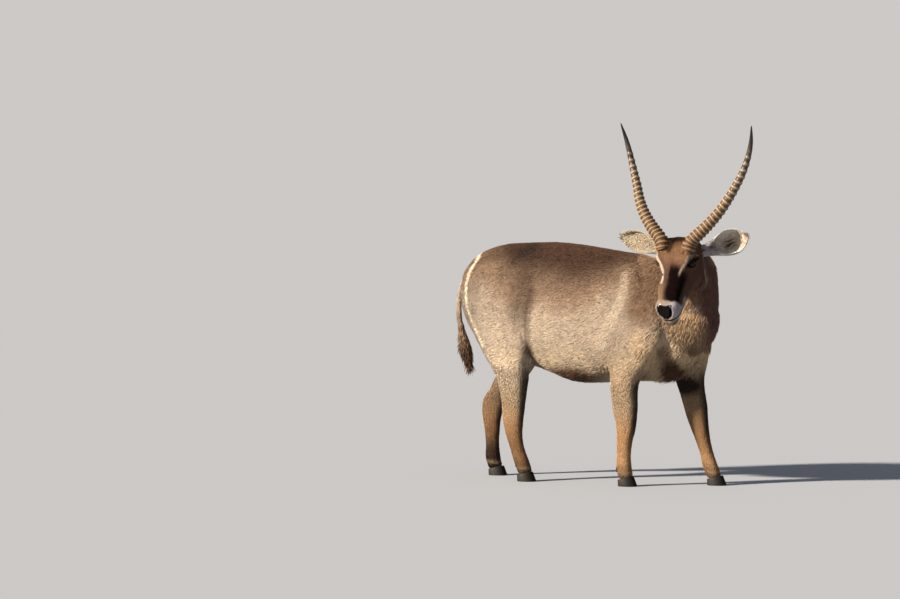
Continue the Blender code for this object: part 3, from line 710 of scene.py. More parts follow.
def lie_of(places, normal, part):
    """The way each hair points, along the skin."""
    body, head = body_places(places), head_places(places)
    lie = np.zeros((len(places), 3))
    for name, here in parts_here(part):
        x = body[here][:, 0]
        if name == "trunk":
            down = 0.35 + 0.75 * fade(0.25, 0.60, x) + 0.6 * falls(-0.50, -0.25, x)
            belly = fade(0.5, 0.9, -normal[here][:, 2])
            lie[here] = np.stack([-1.0 - 0.6 * belly, 0.0 * x, -down], axis=1)
        elif name == "neck":
            lie[here] = changed((-0.30, 0.10, -0.95), neck_joining(x), (-0.70, -0.10, 0.35))
        elif name == "head":
            side, _, nose = head[here].T
            apart = np.sign(side) * fade(0.02, 0.06, np.abs(side))
            back = -1.0 + 1.6 * fade(0.345, 0.395, nose)
            lie[here] = apart[:, None] * LEFT * 0.35 + back[:, None] * NOSE
            lie[here] -= (0.45 * fade(0.05, 0.09, np.abs(side)))[:, None] * CROWN
        elif name == "tail":
            lie[here] = (-0.10, 0.0, -1.0)
        elif name in EARS:
            _, side, axis, opening = ear_chart(places[here], name)
            apart = 2.0 * np.sign(side) * fade(0.02, 0.05, np.abs(side))
            lie[here] = axis + apart[:, None] * np.cross(axis, opening) * 0.4
        else:
            lie[here] = (-0.22, 0.0, -1.0)
    lie -= normal * (lie * normal).sum(axis=1)[:, None]
    lie = unit(lie + 1e-4)
    sway = 0.30 * ripple(places, 26.0, 0.4) + 0.22 * ripple(places, 70.0, 1.9)
    sway = np.where(part == HEAD, 0.35, 0.65) * sway
    return lie * np.cos(sway)[:, None] + np.cross(normal, lie) * np.sin(sway)[:, None]


def hair_of(places, normal, part):
    """Length, width and lift of a tuft, and how many stand on a square metre, at each place."""
    body, head = body_places(places), head_places(places)
    hair = np.zeros((len(places), 4))
    for name, here in parts_here(part):
        x, _, z = body[here].T
        own = np.tile(HAIR[name.split("_")[0]], (len(x), 1))
        if name == "trunk":
            own = changed(own, falls(0.60, 0.72, z), (0.020, 0.001, 0.004, -6000.0))
            own = changed(own, fade(0.50, 0.62, x) * falls(0.95, 1.10, z), (0.018, 0.001, 0.004, -8000.0))
            own = own + leg_share(body[here])[:, None] * (np.array(HAIR["leg"]) - own)
        elif name == "neck":
            own = changed(own, neck_joining(x), (-0.017, -0.0012, -0.0044, 2000.0))
        elif name == "head":
            _, crown, nose = head[here].T
            fore = spot(head[here], (0.0, 0.080, 0.030), (0.070, 0.050, 0.060))
            cheek = fade(0.05, 0.12, -crown) * falls(0.10, 0.20, nose)
            own = changed(own, np.maximum(fore, cheek), (0.011, 0.0009, 0.0022, -60000.0))
            own = changed(own, fade(0.29, 0.33, nose), (-0.0045, -0.0007, -0.0004, 40000.0))
        elif name == "tail":
            own = changed(own, falls(0.76, 0.86, z), (0.038, 0.002, 0.0080, 0.0))
        elif name in EARS:
            _, side, _, opening = ear_chart(places[here], name)
            inside = fade(0.0, 0.4, normal[here] @ opening) * falls(0.030, 0.048, np.abs(side))
            own = changed(own, inside, (0.010, 0.0004, 0.0030, -40000.0))
        else:
            own = changed(own, falls(0.34, 0.56, z), (-0.011, -0.0010, -0.0014, 18000.0))
        hair[here] = own
    return hair


def coat_depth(places, normal, part):
    """How far the skin lies below the tips of the coat."""
    return np.clip(hair_of(places, normal, part)[:, 2] * 0.9, 0.0008, 0.009)


# ---- skin ----
BODY_PUSHES = [  # middle, reach and push of each place worked on the body
    ((0.890, -0.030, 0.990), (0.060, 0.120, 0.055), (0.008, 0.0, 0.0)),
    ((0.560, -0.190, 1.080), (0.060, 0.060, 0.120), (0.004, -0.010, 0.0)),
    ((0.560, 0.190, 1.080), (0.060, 0.060, 0.120), (0.004, 0.010, 0.0)),
]
HEAD_PUSHES = [  # the same on the head, each one's numbers as left, crown, nose
    ((0.070, 0.050, 0.155), (0.018, 0.030, 0.030), (-0.005, -0.001, 0.0)),
    ((0.060, -0.020, 0.215), (0.025, 0.022, 0.060), (-0.006, 0.0, 0.0)),
    ((0.084, 0.070, 0.085), (0.022, 0.014, 0.032), (0.002, 0.006, 0.0)),
    ((0.0, 0.050, -0.045), (0.060, 0.060, 0.040), (0.0, -0.006, 0.012)),
    ((-0.092, 0.050, 0.105), (0.030, 0.040, 0.050), (-0.008, 0.002, 0.0)),
    ((0.0, 0.075, 0.260), (0.020, 0.030, 0.060), (0.0, 0.004, 0.0)),
    ((0.036, 0.030, 0.352), (0.016, 0.026, 0.022), (0.003, 0.004, 0.004)),
    ((0.0, 0.045, 0.372), (0.016, 0.016, 0.020), (0.0, -0.003, 0.0)),
    ((0.0, -0.046, 0.410), (0.034, 0.022, 0.024), (0.0, -0.004, 0.007)),
    ((0.0, 0.000, 0.405), (0.030, 0.016, 0.022), (0.0, 0.0, 0.004)),
]
HORN_ROOT = (0.080, 0.060, 0.030)  # left, crown, nose
HORN_ROOT_RADIUS = 0.034
EAR_PLUGS = [(0.02, 0.029), (0.14, 0.026)]  # place along the ear, and radius
DENSER = [  # eye reach, then the muzzle's least nose, half width and least crown
    (0.050, 0.27, 0.10, -0.12),
    (0.035, 0.330, 0.07, -0.065),
]


def part_finder():
    """Says which flesh node is nearest to each place."""
    verts, faces, owner = [], [], []
    for index, name in enumerate(FLESH):
        mesh = NODES[name].data
        start = len(verts)
        verts.extend(tuple(v.co) for v in mesh.vertices)
        faces.extend(tuple(start + v for v in face.vertices) for face in mesh.polygons)
        owner.extend([index] * len(mesh.polygons))
    tree = BVHTree.FromPolygons(verts, faces)
    return lambda place: owner[tree.find_nearest(place)[2]]


def plug(middle, radius):
    """A filling for a socket or for the root of an ear, so that the skin closes over it."""
    bpy.ops.mesh.primitive_uv_sphere_add(segments=24, ring_count=16, radius=radius, location=middle)
    piece = added("plug")
    settle(piece)
    return piece


def swollen(piece, amount):
    mesh = piece.data
    set_places(mesh, places_of(mesh) + normals_of(mesh) * amount)
    return piece


def flesh():
    """Every flesh node joined and remade as one closed surface."""
    pieces = [swollen(copy_of_node(name, name + "_flesh"), SKIN_SWELL) for name in FLESH]
    left, crown, nose = HORN_ROOT
    for side in (-1, 1):
        pieces.append(plug(eye_middle(side), EYE_RADIUS))
        pieces.append(plug(on_head(side * left, crown, nose), HORN_ROOT_RADIUS))
    for root, reach, _ in EAR_SHAPES.values():
        pieces += [plug(root + reach * along, radius) for along, radius in EAR_PLUGS]
    skin = joined(pieces, "skin")
    apply_modifier(skin, "REMESH", mode="VOXEL", voxel_size=SKIN_VOXEL, use_smooth_shade=True)
    apply_modifier(skin, "SMOOTH", factor=0.5, iterations=5)
    return skin


def refine(piece, chosen):
    """Splits the edges between chosen vertices in half."""
    mesh = piece.data
    work = bmesh.new()
    work.from_mesh(mesh)
    work.verts.ensure_lookup_table()
    edges = [e for e in work.edges if chosen[e.verts[0].index] and chosen[e.verts[1].index]]
    bmesh.ops.subdivide_edges(work, edges=edges, cuts=1, use_grid_fill=True, smooth=0.0)
    work.to_mesh(mesh)
    work.free()
    mesh.update()


def parts_of(mesh, finder):
    return np.array([finder(v.co) for v in mesh.vertices])


def relax(piece, chosen, rounds):
    """Evens out the chosen vertices."""
    group = piece.vertex_groups.new(name="relax")
    group.add([int(i) for i in np.flatnonzero(chosen)], 1.0, "REPLACE")
    apply_modifier(piece, "SMOOTH", factor=0.5, iterations=rounds, vertex_group="relax")
    piece.vertex_groups.clear()


def press(head, middle, reach, push):
    """One push; a push on the right of the head stays there, any other is mirrored."""
    if middle[0] < 0.0:
        return changed(head, spot(head, middle, reach), push)
    move = spot(one_sided(head, 0), middle, reach)[:, None] * np.array(push)
    move[:, 0] *= np.sign(head[:, 0])
    return head + move


def shaped_head(head):
    """Brows, muzzle, mouth, nostrils and the groove of the lip, worked in the head's frame."""
    for push in HEAD_PUSHES:
        head = press(head, *push)
    side, crown, nose = head.T
    inward = unit(np.stack([-side, -0.3 * (crown + 0.03), 0.30 - nose], axis=1))
    mouth = line_distance(head[:, 1:], MOUTH_LINE)
    lips = 0.0050 * bell(mouth, 0.0, 0.0035) * fade(0.27, 0.30, nose)
    lips = lips - 0.0022 * bell(mouth, 0.011, 0.006) * fade(0.28, 0.32, nose)
    head = head + inward * lips[:, None]
    nostril = nostril_distance(head)
    sink = 0.0130 * bell(nostril, 0.0, 0.0046) - 0.0020 * bell(nostril, 0.0110, 0.0042)
    head = head + inward * (sink * fade(0.335, 0.350, nose))[:, None]
    groove = bell(head[:, 0], 0.0, 0.0022) * fade(0.370, 0.380, nose)
    groove = groove * falls(0.012, 0.022, crown) * fade(-0.012, -0.008, crown)
    return head + inward * (0.0025 * groove)[:, None]


def opened_lids(head):
    """The skin is tucked behind the eyeball inside the lids and drawn over it at their rims."""
    along, across, out, away = eye_chart(head)
    height = np.where(across < 0.0, LID_DROP, LID_RISE)
    opening = np.abs(along / LID_HALF_LENGTH) ** LID_ROUNDNESS + np.abs(across / height) ** LID_ROUNDNESS
    opening = opening ** (1 / LID_ROUNDNESS)
    distance = np.linalg.norm(away, axis=1)
    lid = EYE_RADIUS + 0.0026 - 0.0076 * falls(0.80, 1.02, opening) - 0.0016 * bell(opening, 1.75, 0.16)
    weight = falls(1.55, 2.6, opening) * fade(-0.004, 0.006, out) * (distance < 0.075)
    wanted = distance + (lid - distance) * weight
    moved = away * (wanted / np.maximum(distance, 1e-6))[:, None] + np.array(EYE_SPOT)
    moved[:, 0] *= np.sign(head[:, 0])
    return moved


def ear_shell(name):
    shell = copy_of_node(name, name + "_shell")
    with editing(shell):
        bpy.ops.mesh.tris_convert_to_quads()
    apply_modifier(shell, "SUBSURF", levels=2)
    return shell


def made_skin():
    """The skin with its part numbers, and the unwrap that the coat's bake map uses."""
    skin = flesh()
    finder = part_finder()
    mesh = skin.data
    head = head_places(places_of(mesh))
    refine(skin, (parts_of(mesh, finder) == HEAD) & (head[:, 2] > -0.03))
    for eye_reach, least_nose, half_width, least_crown in DENSER:
        head = head_places(places_of(mesh))
        side, crown, nose = head.T
        eye = np.linalg.norm(np.abs(head) - EYE_SPOT, axis=1) < eye_reach
        refine(skin, eye | (nose > least_nose) & (np.abs(side) < half_width) & (crown > least_crown))
    part = parts_of(mesh, finder)
    on = part == HEAD
    relax(skin, on, 4)
    places, normal = places_of(mesh), normals_of(mesh)
    places = places - normal * coat_depth(places, normal, part)[:, None]
    body = body_places(places)
    for middle, reach, push in BODY_PUSHES:
        places = changed(places, spot(body, middle, reach), push)
    places[on] = opened_lids(shaped_head(head_places(places[on]))) @ HEAD_AXES + POLL + SHIFT
    set_places(mesh, places)
    shells = [ear_shell(name) for name in EARS]
    ears = [np.full(len(shell.data.vertices), PARTS.index(name)) for name, shell in zip(EARS, shells)]
    part = np.concatenate([part] + ears)
    skin = joined([skin] + shells, "skin")
    pick(skin)
    bpy.ops.object.shade_smooth()
    with editing(skin):
        bpy.ops.uv.smart_project(angle_limit=math.radians(72), island_margin=0.0015)
    skin.data.uv_layers[0].name = "SkinMap"
    return skin, part


def paint(mesh, name, values):
    """Keeps colours or a single number on the vertices under a name."""
    kind = "FLOAT_COLOR" if values.ndim == 2 else "FLOAT"
    layer = mesh.attributes.new(name, kind, "POINT")
    if values.ndim == 2:
        values = np.concatenate([values, np.ones((len(values), 1))], axis=1)
        layer.data.foreach_set("color", values.astype(np.float32).ravel())
    else:
        layer.data.foreach_set("value", values.astype(np.float32))


# ---- coat ----
BARE = 0.35  # no tuft stands where the skin is barer than this
PATCH = 0.003  # size of a tuft on the bake map
LONG_COATS = ("coat_neck", "coat_tail")
LONG_TUFT, SHORT_TUFT = (0.12, 2), (0.02, 1)  # droop, and rings of points
ROOT_DEPTH = 0.0016
ROOT_BACK = 0.12  # of the tuft's length
AROUND = ((0, 1), (1, 2), (2, 0))  # the sides of a ring of three points


def triangles_of(mesh):
    """The corners of each triangle, as vertices and as loops."""
    mesh.calc_loop_triangles()
    both = []
    for kind in ("vertices", "loops"):
        flat = np.empty(len(mesh.loop_triangles) * 3, np.int32)
        mesh.loop_triangles.foreach_get(kind, flat)
        both.append(flat.reshape(-1, 3))
    return both


def roots_of(skin, part, rng):
    """Where the tufts stand: place, normal, part, unwrap place."""
    mesh = skin.data
    places, normal = places_of(mesh), normals_of(mesh)
    corners, loops = triangles_of(mesh)
    chart = np.empty(len(mesh.loops) * 2, np.float32)
    mesh.uv_layers["SkinMap"].data.foreach_get("uv", chart)
    chart = chart.reshape(-1, 2)
    a, b, c = (places[corners[:, i]] for i in range(3))
    area = 0.5 * np.linalg.norm(np.cross(b - a, c - a), axis=1)
    middle = (a + b + c) / 3.0
    face_part = part[corners[:, 0]]
    face_normal = unit(normal[corners].sum(axis=1))
    wanted = area * hair_of(middle, face_normal, face_part)[:, 3]
    on = np.flatnonzero(face_part == HEAD)
    wanted[on[bare_skin(head_places(middle[on])) > BARE]] = 0.0
    total = int(wanted.sum())
    steps = (np.arange(total) + rng.random(total)) / total
    chosen = np.searchsorted(np.cumsum(wanted) / wanted.sum(), steps)
    chosen = np.minimum(chosen, len(wanted) - 1)
    u, v = rng.random(total), rng.random(total)
    flip = u + v > 1.0
    u[flip], v[flip] = 1.0 - u[flip], 1.0 - v[flip]
    weights = np.stack([1.0 - u - v, u, v], axis=1)[:, :, None]
    place = (places[corners[chosen]] * weights).sum(axis=1)
    out = unit((normal[corners[chosen]] * weights).sum(axis=1))
    spread = (chart[loops[chosen]] * weights).sum(axis=1)
    return place, out, face_part[chosen], spread


def tuft_faces(rings):
    """The triangles of one closed lock, by the order of its points."""
    faces = [(0, 2, 1), (0, 3, 2), (0, 1, 3)]
    for low in range(1, 3 * rings - 2, 3):
        for a, b in AROUND:
            faces += [(low + a, low + b, low + 3 + b), (low + a, low + 3 + b, low + 3 + a)]
    last, tip = 3 * rings - 2, 3 * rings + 1
    return np.array(faces + [(last + a, last + b, tip) for a, b in AROUND])


def mesh_of(name, verts, triangles):
    mesh = bpy.data.meshes.new(name)
    mesh.vertices.add(len(verts))
    mesh.vertices.foreach_set("co", verts.astype(np.float32).ravel())
    mesh.loops.add(triangles.size)
    mesh.loops.foreach_set("vertex_index", triangles.astype(np.int32).ravel())
    mesh.polygons.add(len(triangles))
    mesh.polygons.foreach_set("loop_start", np.arange(0, triangles.size, 3, dtype=np.int32))
    mesh.polygons.foreach_set("use_smooth", np.ones(len(triangles), bool))
    mesh.update(calc_edges=True)
    return mesh


def tufts(name, place, out, lie, size, colour, spread, droop, rings, rng):
    """Closed, tapering locks: a buried root, rings of three points and a tip."""
    count = len(place)
    length = (size[:, 0] * rng.uniform(0.75, 1.25, count))[:, None]
    width = (size[:, 1] * rng.uniform(0.75, 1.25, count))[:, None]
    lift = (size[:, 2] * rng.uniform(0.55, 1.45, count))[:, None]
    turn = rng.normal(0.0, 0.16, count)[:, None]
    along = lie * np.cos(turn) + np.cross(out, lie) * np.sin(turn)
    across = np.cross(out, along)
    ends = [place - out * ROOT_DEPTH - along * length * ROOT_BACK]
    shade = [0.70]
    chart = [(0.0, -0.5)]
    for ring in range(rings):
        t = (ring + 0.8) / (rings + 0.8)
        rise = np.sin(min(1.0, t * 1.15) * math.pi / 2.0)
        middle = place + along * length * t + out * lift * rise
        middle[:, 2] -= (droop * t * t * length)[:, 0]
        half = width * 0.5 * (1.0 - 0.55 * t * t)
        ends += [middle + across * half, middle - across * half, middle + out * half * 0.7]
        shade += [0.82 + 0.25 * t] * 3
        chart += [(0.45, t - 0.5), (-0.45, t - 0.5), (0.0, t - 0.5)]
    tip = place + along * length + out * lift * 1.05
    tip[:, 2] -= (droop * length)[:, 0]
    ends.append(tip)
    shade.append(1.16)
    chart.append((0.0, 0.5))
    tone = rng.normal(1.0, 0.13, count)[:, None, None] * np.array(shade)[None, :, None]
    colours = (colour[:, None, :] * np.clip(tone, 0.4, 1.7)).reshape(-1, 3)
    starts = np.arange(count) * len(ends)
    index = (tuft_faces(rings)[None] + starts[:, None, None]).reshape(-1, 3)
    charts = (spread[:, None] + PATCH * np.array(chart)).reshape(-1, 2)
    mesh = mesh_of(name, np.stack(ends, axis=1).reshape(-1, 3), index)
    bake = mesh.uv_layers.new(name="OFBake")
    bake.data.foreach_set("uv", charts[index.ravel()].astype(np.float32).ravel())
    paint(mesh, "coat", np.clip(colours, 0.0, 1.0))
    piece = bpy.data.objects.new(name, mesh)
    bpy.context.scene.collection.objects.link(piece)
    return piece


# ---- finishes ----
class Finish:
    """A material and the nodes that make its colour, gloss and bump."""

    def __init__(self, name, **values):
        self.material = bpy.data.materials.new(name)
        self.material.use_nodes = True
        self.tree = self.material.node_tree
        self.shader = self.tree.nodes["Principled BSDF"]
        self.shine_with(**values)

    def shine_with(self, **values):
        """Feeds the shader's own sockets, with _ for the spaces in their names."""
        for key, value in values.items():
            self.feed(self.shader.inputs[key.replace("_", " ")], value)

    def feed(self, socket, value):
        """Links an output to the socket, or sets a plain value in it."""
        if hasattr(value, "links"):
            self.tree.links.new(value, socket)
        else:
            socket.default_value = value

    def node(self, kind, *fed, **values):
        """A node with its first sockets fed in order, then its named sockets and settings."""
        made = self.tree.nodes.new("ShaderNode" + kind)
        for key, value in values.items():
            if key in made.inputs:
                self.feed(made.inputs[key], value)
            else:
                setattr(made, key, value)
        for socket, value in zip(made.inputs, fed):
            self.feed(socket, value)
        return made

    def maths(self, operation, *values):
        return self.node("Math", *values, operation=operation).outputs[0]

    def places(self, scale=(1.0, 1.0, 1.0)):
        where = self.node("TexCoord").outputs["Object"]
        return self.node("Mapping", Vector=where, Scale=scale).outputs["Vector"]

    def noise(self, vector, scale, detail=3.0):
        made = self.node("TexNoise", Vector=vector, Scale=scale, Detail=detail, Roughness=0.55)
        return made.outputs["Fac"]

    def ramp(self, value, stops):
        made = self.node("ValToRGB", value)
        ramp = made.color_ramp
        while len(ramp.elements) < len(stops):
            ramp.elements.new(0.5)
        for element, (at, colour) in zip(ramp.elements, stops):
            element.position = at
            element.color = (*colour, 1.0)
        return made.outputs["Color"]

    def blend(self, kind, weight, first, second):
        made = self.node("Mix", data_type="RGBA", blend_type=kind)
        for number, value in ((0, weight), (6, first), (7, second)):
            self.feed(made.inputs[number], value)
        return made.outputs[2]

    def product(self, first, *others):
        for other in others:
            first = self.blend("MULTIPLY", 1.0, first, other)
        return first

    def attribute(self, name):
        return self.node("Attribute", attribute_name=name)

    def range(self, value, low, high):
        """Carries 0 to 1 over to low and high."""
        return self.node("MapRange", Value=value, **{"To Min": low, "To Max": high}).outputs["Result"]

    def bump(self, height, strength, distance, **before):
        made = self.node("Bump", Height=height, Strength=strength, Distance=distance, **before)
        return made.outputs["Normal"]


def skin_finish():
    hide = Finish("short_hair_and_hide", Roughness=0.7, Specular_IOR_Level=0.0, Coat_Roughness=0.10)
    own = hide.attribute("coat").outputs["Color"]
    bare = hide.attribute("bare").outputs["Fac"]
    grain = hide.noise(hide.places((260.0, 260.0, 70.0)), 1.0, 4.0)
    patch = hide.noise(hide.places(), 38.0, 4.0)
    strands = hide.ramp(grain, [(0.30, (0.62, 0.60, 0.58)), (0.70, (1.0, 1.0, 1.0))])
    cloud = hide.ramp(patch, [(0.30, (0.84, 0.82, 0.80)), (0.70, (1.0, 1.0, 1.0))])
    colour = hide.blend("MIX", bare, hide.product(own, strands, cloud), own)
    pebble = hide.node("TexVoronoi", Vector=hide.places(), Scale=620.0).outputs["Distance"]
    bump = hide.bump(pebble, 0.20, 0.0007, Normal=hide.bump(grain, 0.55, 0.0012))
    hide.shine_with(Base_Color=colour, Normal=bump)
    hide.shine_with(Roughness=hide.range(bare, 0.74, 0.44), Coat_Weight=hide.range(bare, 0.0, 0.20))
    return hide.material


def coat_finish(name, roughness, sheen, shine=0.15):
    coat = Finish(name, Roughness=roughness, Specular_IOR_Level=shine)
    coat.shine_with(Sheen_Weight=sheen, Sheen_Roughness=0.4)
    own = coat.attribute("coat").outputs["Color"]
    fleck = coat.noise(coat.places(), 240.0, 2.0)
    patch = coat.noise(coat.places(), 30.0, 3.0)
    flecks = coat.ramp(fleck, [(0.32, (0.78, 0.76, 0.74)), (0.66, (1.12, 1.12, 1.12))])
    cloud = coat.ramp(patch, [(0.30, (0.86, 0.84, 0.82)), (0.68, (1.06, 1.06, 1.06))])
    coat.shine_with(Base_Color=coat.product(own, flecks, cloud))
    return coat.material


def horn_finish():
    horn = Finish("ringed_horn", Roughness=0.5, Specular_IOR_Level=0.4)
    along = horn.attribute("along").outputs["Fac"]
    ridge = horn.attribute("ridge").outputs["Fac"]
    wander = horn.noise(horn.places(), 14.0, 3.0)
    body = horn.ramp(
        horn.maths("MULTIPLY_ADD", wander, 0.14, along),
        [
            (0.06, (0.245, 0.125, 0.052)),
            (0.20, (0.300, 0.188, 0.095)),
            (0.50, (0.350, 0.252, 0.142)),
            (0.76, (0.280, 0.220, 0.172)),
            (0.92, (0.060, 0.046, 0.038)),
            (1.00, (0.020, 0.015, 0.012)),
        ],
    )
    # painted shade darkens the grooves between the rings, and the ridge tops are painted lighter
    groove_shade_and_ridge_light = horn.ramp(
        ridge,
        [
            (0.0, (0.22, 0.17, 0.13)),
            (0.34, (0.64, 0.60, 0.56)),
            (1.0, (1.06, 1.04, 1.00)),
        ],
    )
    streak = horn.noise(horn.places((90.0, 90.0, 14.0)), 3.0, 4.0)
    lines = horn.ramp(streak, [(0.30, (0.70, 0.68, 0.66)), (0.70, (1.10, 1.10, 1.10))])
    horn.shine_with(Base_Color=horn.product(body, groove_shade_and_ridge_light, lines))
    horn.shine_with(Roughness=horn.range(along, 0.62, 0.30), Normal=horn.bump(streak, 0.5, 0.0012))
    return horn.material


def hoof_finish():
    hoof = Finish("hoof_horn", Roughness=0.42, Specular_IOR_Level=0.25)
    wave = {"Scale": 1.0, "Distortion": 1.4, "Detail": 2.0, "bands_direction": "Z"}
    rings = hoof.node("TexWave", Vector=hoof.places((3.0, 3.0, 48.0)), **wave).outputs["Fac"]
    worn = hoof.noise(hoof.places(), 42.0, 4.0)
    base = hoof.ramp(
        worn,
        [
            (0.30, (0.006, 0.005, 0.004)),
            (0.60, (0.014, 0.010, 0.007)),
            (0.85, (0.050, 0.030, 0.018)),
        ],
    )
    bands = hoof.ramp(rings, [(0.2, (0.75, 0.74, 0.72)), (0.8, (1.1, 1.1, 1.1))])
    hoof.shine_with(Base_Color=hoof.product(base, bands))
    hoof.shine_with(Roughness=hoof.range(worn, 0.50, 0.75), Normal=hoof.bump(rings, 0.35, 0.0008))
    return hoof.material


def eye_finish(side):
    """A dark brown eye with a level, slot-shaped pupil, laid out from the middle of the eyeball."""
    name = "eye_left_glass" if side > 0 else "eye_right_glass"
    eye = Finish(name, Roughness=0.05, Specular_IOR_Level=0.12)
    out = eye_out(side)
    level = unit(np.cross((0.0, 0.0, 1.0), out)[None])[0]
    rise = np.cross(out, level)
    where = eye.node("TexCoord").outputs["Object"]
    away = eye.node("VectorMath", where, eye_middle(side), operation="SUBTRACT").outputs[0]

    def squared(axis, size):
        reach = eye.node("VectorMath", away, Vector(axis), operation="DOT_PRODUCT").outputs["Value"]
        return eye.maths("POWER", eye.maths("ABSOLUTE", eye.maths("DIVIDE", reach, size)), 2.0)

    def oval(width, height):
        return eye.maths("ADD", squared(level, width), squared(rise, height))

    iris = eye.ramp(oval(0.0185, 0.0165), [(0.75, (0.016, 0.006, 0.002)), (1.0, (0.003, 0.002, 0.002))])
    fibres = eye.noise(eye.places(), 420.0, 3.0)
    threads = eye.ramp(fibres, [(0.35, (0.6, 0.55, 0.5)), (0.65, (1.6, 1.5, 1.3))])
    pupil = eye.ramp(oval(0.0105, 0.0045), [(0.85, (0.0, 0.0, 0.0)), (1.05, (1.0, 1.0, 1.0))])
    eye.shine_with(Base_Color=eye.product(iris, threads, pupil))
    return eye.material


def plain_finish(name, colour, roughness):
    return Finish(name, Roughness=roughness, Base_Color=(*colour, 1.0), Specular_IOR_Level=0.0).material


def wear(piece, material):
    piece.data.materials.clear()
    piece.data.materials.append(material)


# ---- eyes, horns and feet ----
def eyeball(side):
    """An eyeball with the clear front swelling out of it."""
    bpy.ops.mesh.primitive_uv_sphere_add(segments=48, ring_count=32, radius=EYE_RADIUS)
    eye = added("eye_left_ball" if side > 0 else "eye_right_ball")
    for vert in eye.data.vertices:
        height = vert.co.z / EYE_RADIUS
        if height > CLEAR_FRONT:
            share = (height - CLEAR_FRONT) / (1.0 - CLEAR_FRONT)
            vert.co.z += CLEAR_SWELL * math.sin(share * math.pi / 2.0)
    eye.rotation_euler = Vector(eye_out(side)).to_track_quat("Z", "Y").to_euler()
    eye.location = eye_middle(side)
    settle(eye)
    bpy.ops.object.shade_smooth()
    wear(eye, eye_finish(side))
    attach(eye, ROOT)
    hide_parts("eye_left" if side > 0 else "eye_right")


def smooth_line(points, steps):
    """A soft curve through the points."""
    ends = [points[0] * 2 - points[1]] + list(points) + [points[-1] * 2 - points[-2]]
    line = []
    for i in range(1, len(ends) - 2):
        a, b, c, d = ends[i - 1 : i + 3]
        for step in range(steps):
            t = step / steps
            bend = (2 * a - 5 * b + 4 * c - d) * t * t
            twist = (3 * b - a - 3 * c + d) * t**3
            line.append(0.5 * (2 * b + (c - a) * t + bend + twist))
    return line + [points[-1]]


def horn_thickness(t):
    return HORN_RADIUS * (1.0 - 0.62 * t - 0.30 * t**5)


def horn_sizes():
    """Place along the horn and radius there: rings, then a smooth tip."""
    steps = HORN_RINGS * RING_STEPS
    for i in range(steps):
        t = RINGED_SHARE * (i + 1) / steps
        share = t / RINGED_SHARE
        phase = (HORN_RINGS * (1.30 * share - 0.30 * share**2)) % 1.0
        ridge = math.exp(-(((phase - 0.55) / RING_WIDTH) ** 2))
        deep = RING_DEPTH * min(1.0, (RINGED_SHARE - t) / 0.10) if t < RINGED_SHARE else 0.0
        yield t, horn_thickness(t) * (1.0 - 0.55 * deep + deep * ridge)
    for i in range(TIP_STEPS - 1):
        t = RINGED_SHARE + (1.0 - RINGED_SHARE) * (i + 1) / TIP_STEPS
        yield t, horn_thickness(t)
    yield 1.0, TIP_RADIUS


def straight_horn(name, length):
    """A ringed horn along +X."""
    before, place = horn_thickness(0.0), 0.0
    bpy.ops.mesh.primitive_circle_add(
        vertices=HORN_SIDES, radius=before, fill_type="NGON", rotation=(0.0, math.radians(90), 0.0)
    )
    piece = added(name)
    settle(piece)
    with editing(piece):
        for t, size in horn_sizes():
            step = (length * (t - place), 0.0, 0.0)
            bpy.ops.mesh.extrude_region_move(TRANSFORM_OT_translate={"value": step})
            scale = size / before
            bpy.ops.transform.resize(value=(1.0, scale, scale), center_override=(length * t, 0.0, 0.0))
            before, place = size, t
        bpy.ops.mesh.select_all(action="SELECT")
        bpy.ops.mesh.normals_make_consistent(inside=False)
    places = places_of(piece.data)
    along = places[:, 0] / length
    radius = np.linalg.norm(places[:, 1:], axis=1)
    usual = np.array([horn_thickness(t) for t in along])
    paint(piece.data, "along", along)
    paint(piece.data, "ridge", np.clip((radius / usual - 0.93) / 0.14, 0.0, 1.0))
    angle = np.arctan2(places[:, 2], places[:, 1])
    places[:, 0] += 0.0022 * np.sin(angle * 2.0 + along * 9.0) * (along > 0.02) * (along < 0.8)
    set_places(piece.data, places)
    return piece


def bent_along(piece, line):
    curve = bpy.data.curves.new("horn_line", "CURVE")
    curve.dimensions = "3D"
    curve.twist_mode = "MINIMUM"
    spline = curve.splines.new("POLY")
    spline.points.add(len(line) - 1)
    for point, place in zip(spline.points, line):
        point.co = (*place, 1.0)
    guide = bpy.data.objects.new("horn_line", curve)
    bpy.context.scene.collection.objects.link(guide)
    apply_modifier(piece, "CURVE", object=guide, deform_axis="POS_X")
    bpy.data.objects.remove(guide)


def horn(side):
    """A straight ringed horn is turned up first, then bent along its line."""
    points = [on_head(side * left, crown, -above) for left, crown, above in HORN_LINE]
    line = smooth_line(points, LINE_STEPS)
    length = sum((b - a).length for a, b in zip(line[:-1], line[1:]))
    piece = straight_horn("horn_left_ringed" if side > 0 else "horn_right_ringed", length)
    bent_along(piece, line)
    bpy.ops.object.shade_smooth()
    wear(piece, horn_finish_material)
    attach(piece, ROOT)
    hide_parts("horn_left" if side > 0 else "horn_right")


def hoof(node):
    piece = copy_of_node(node, node + "_shell")
    bevel = {"width": 0.0022, "segments": 3, "limit_method": "ANGLE", "angle_limit": math.radians(35)}
    apply_modifier(piece, "BEVEL", **bevel)
    pick(piece)
    bpy.ops.object.shade_smooth_by_angle(angle=math.radians(50))
    wear(piece, hoof_finish_material)
    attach(piece, ROOT)
    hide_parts(node)


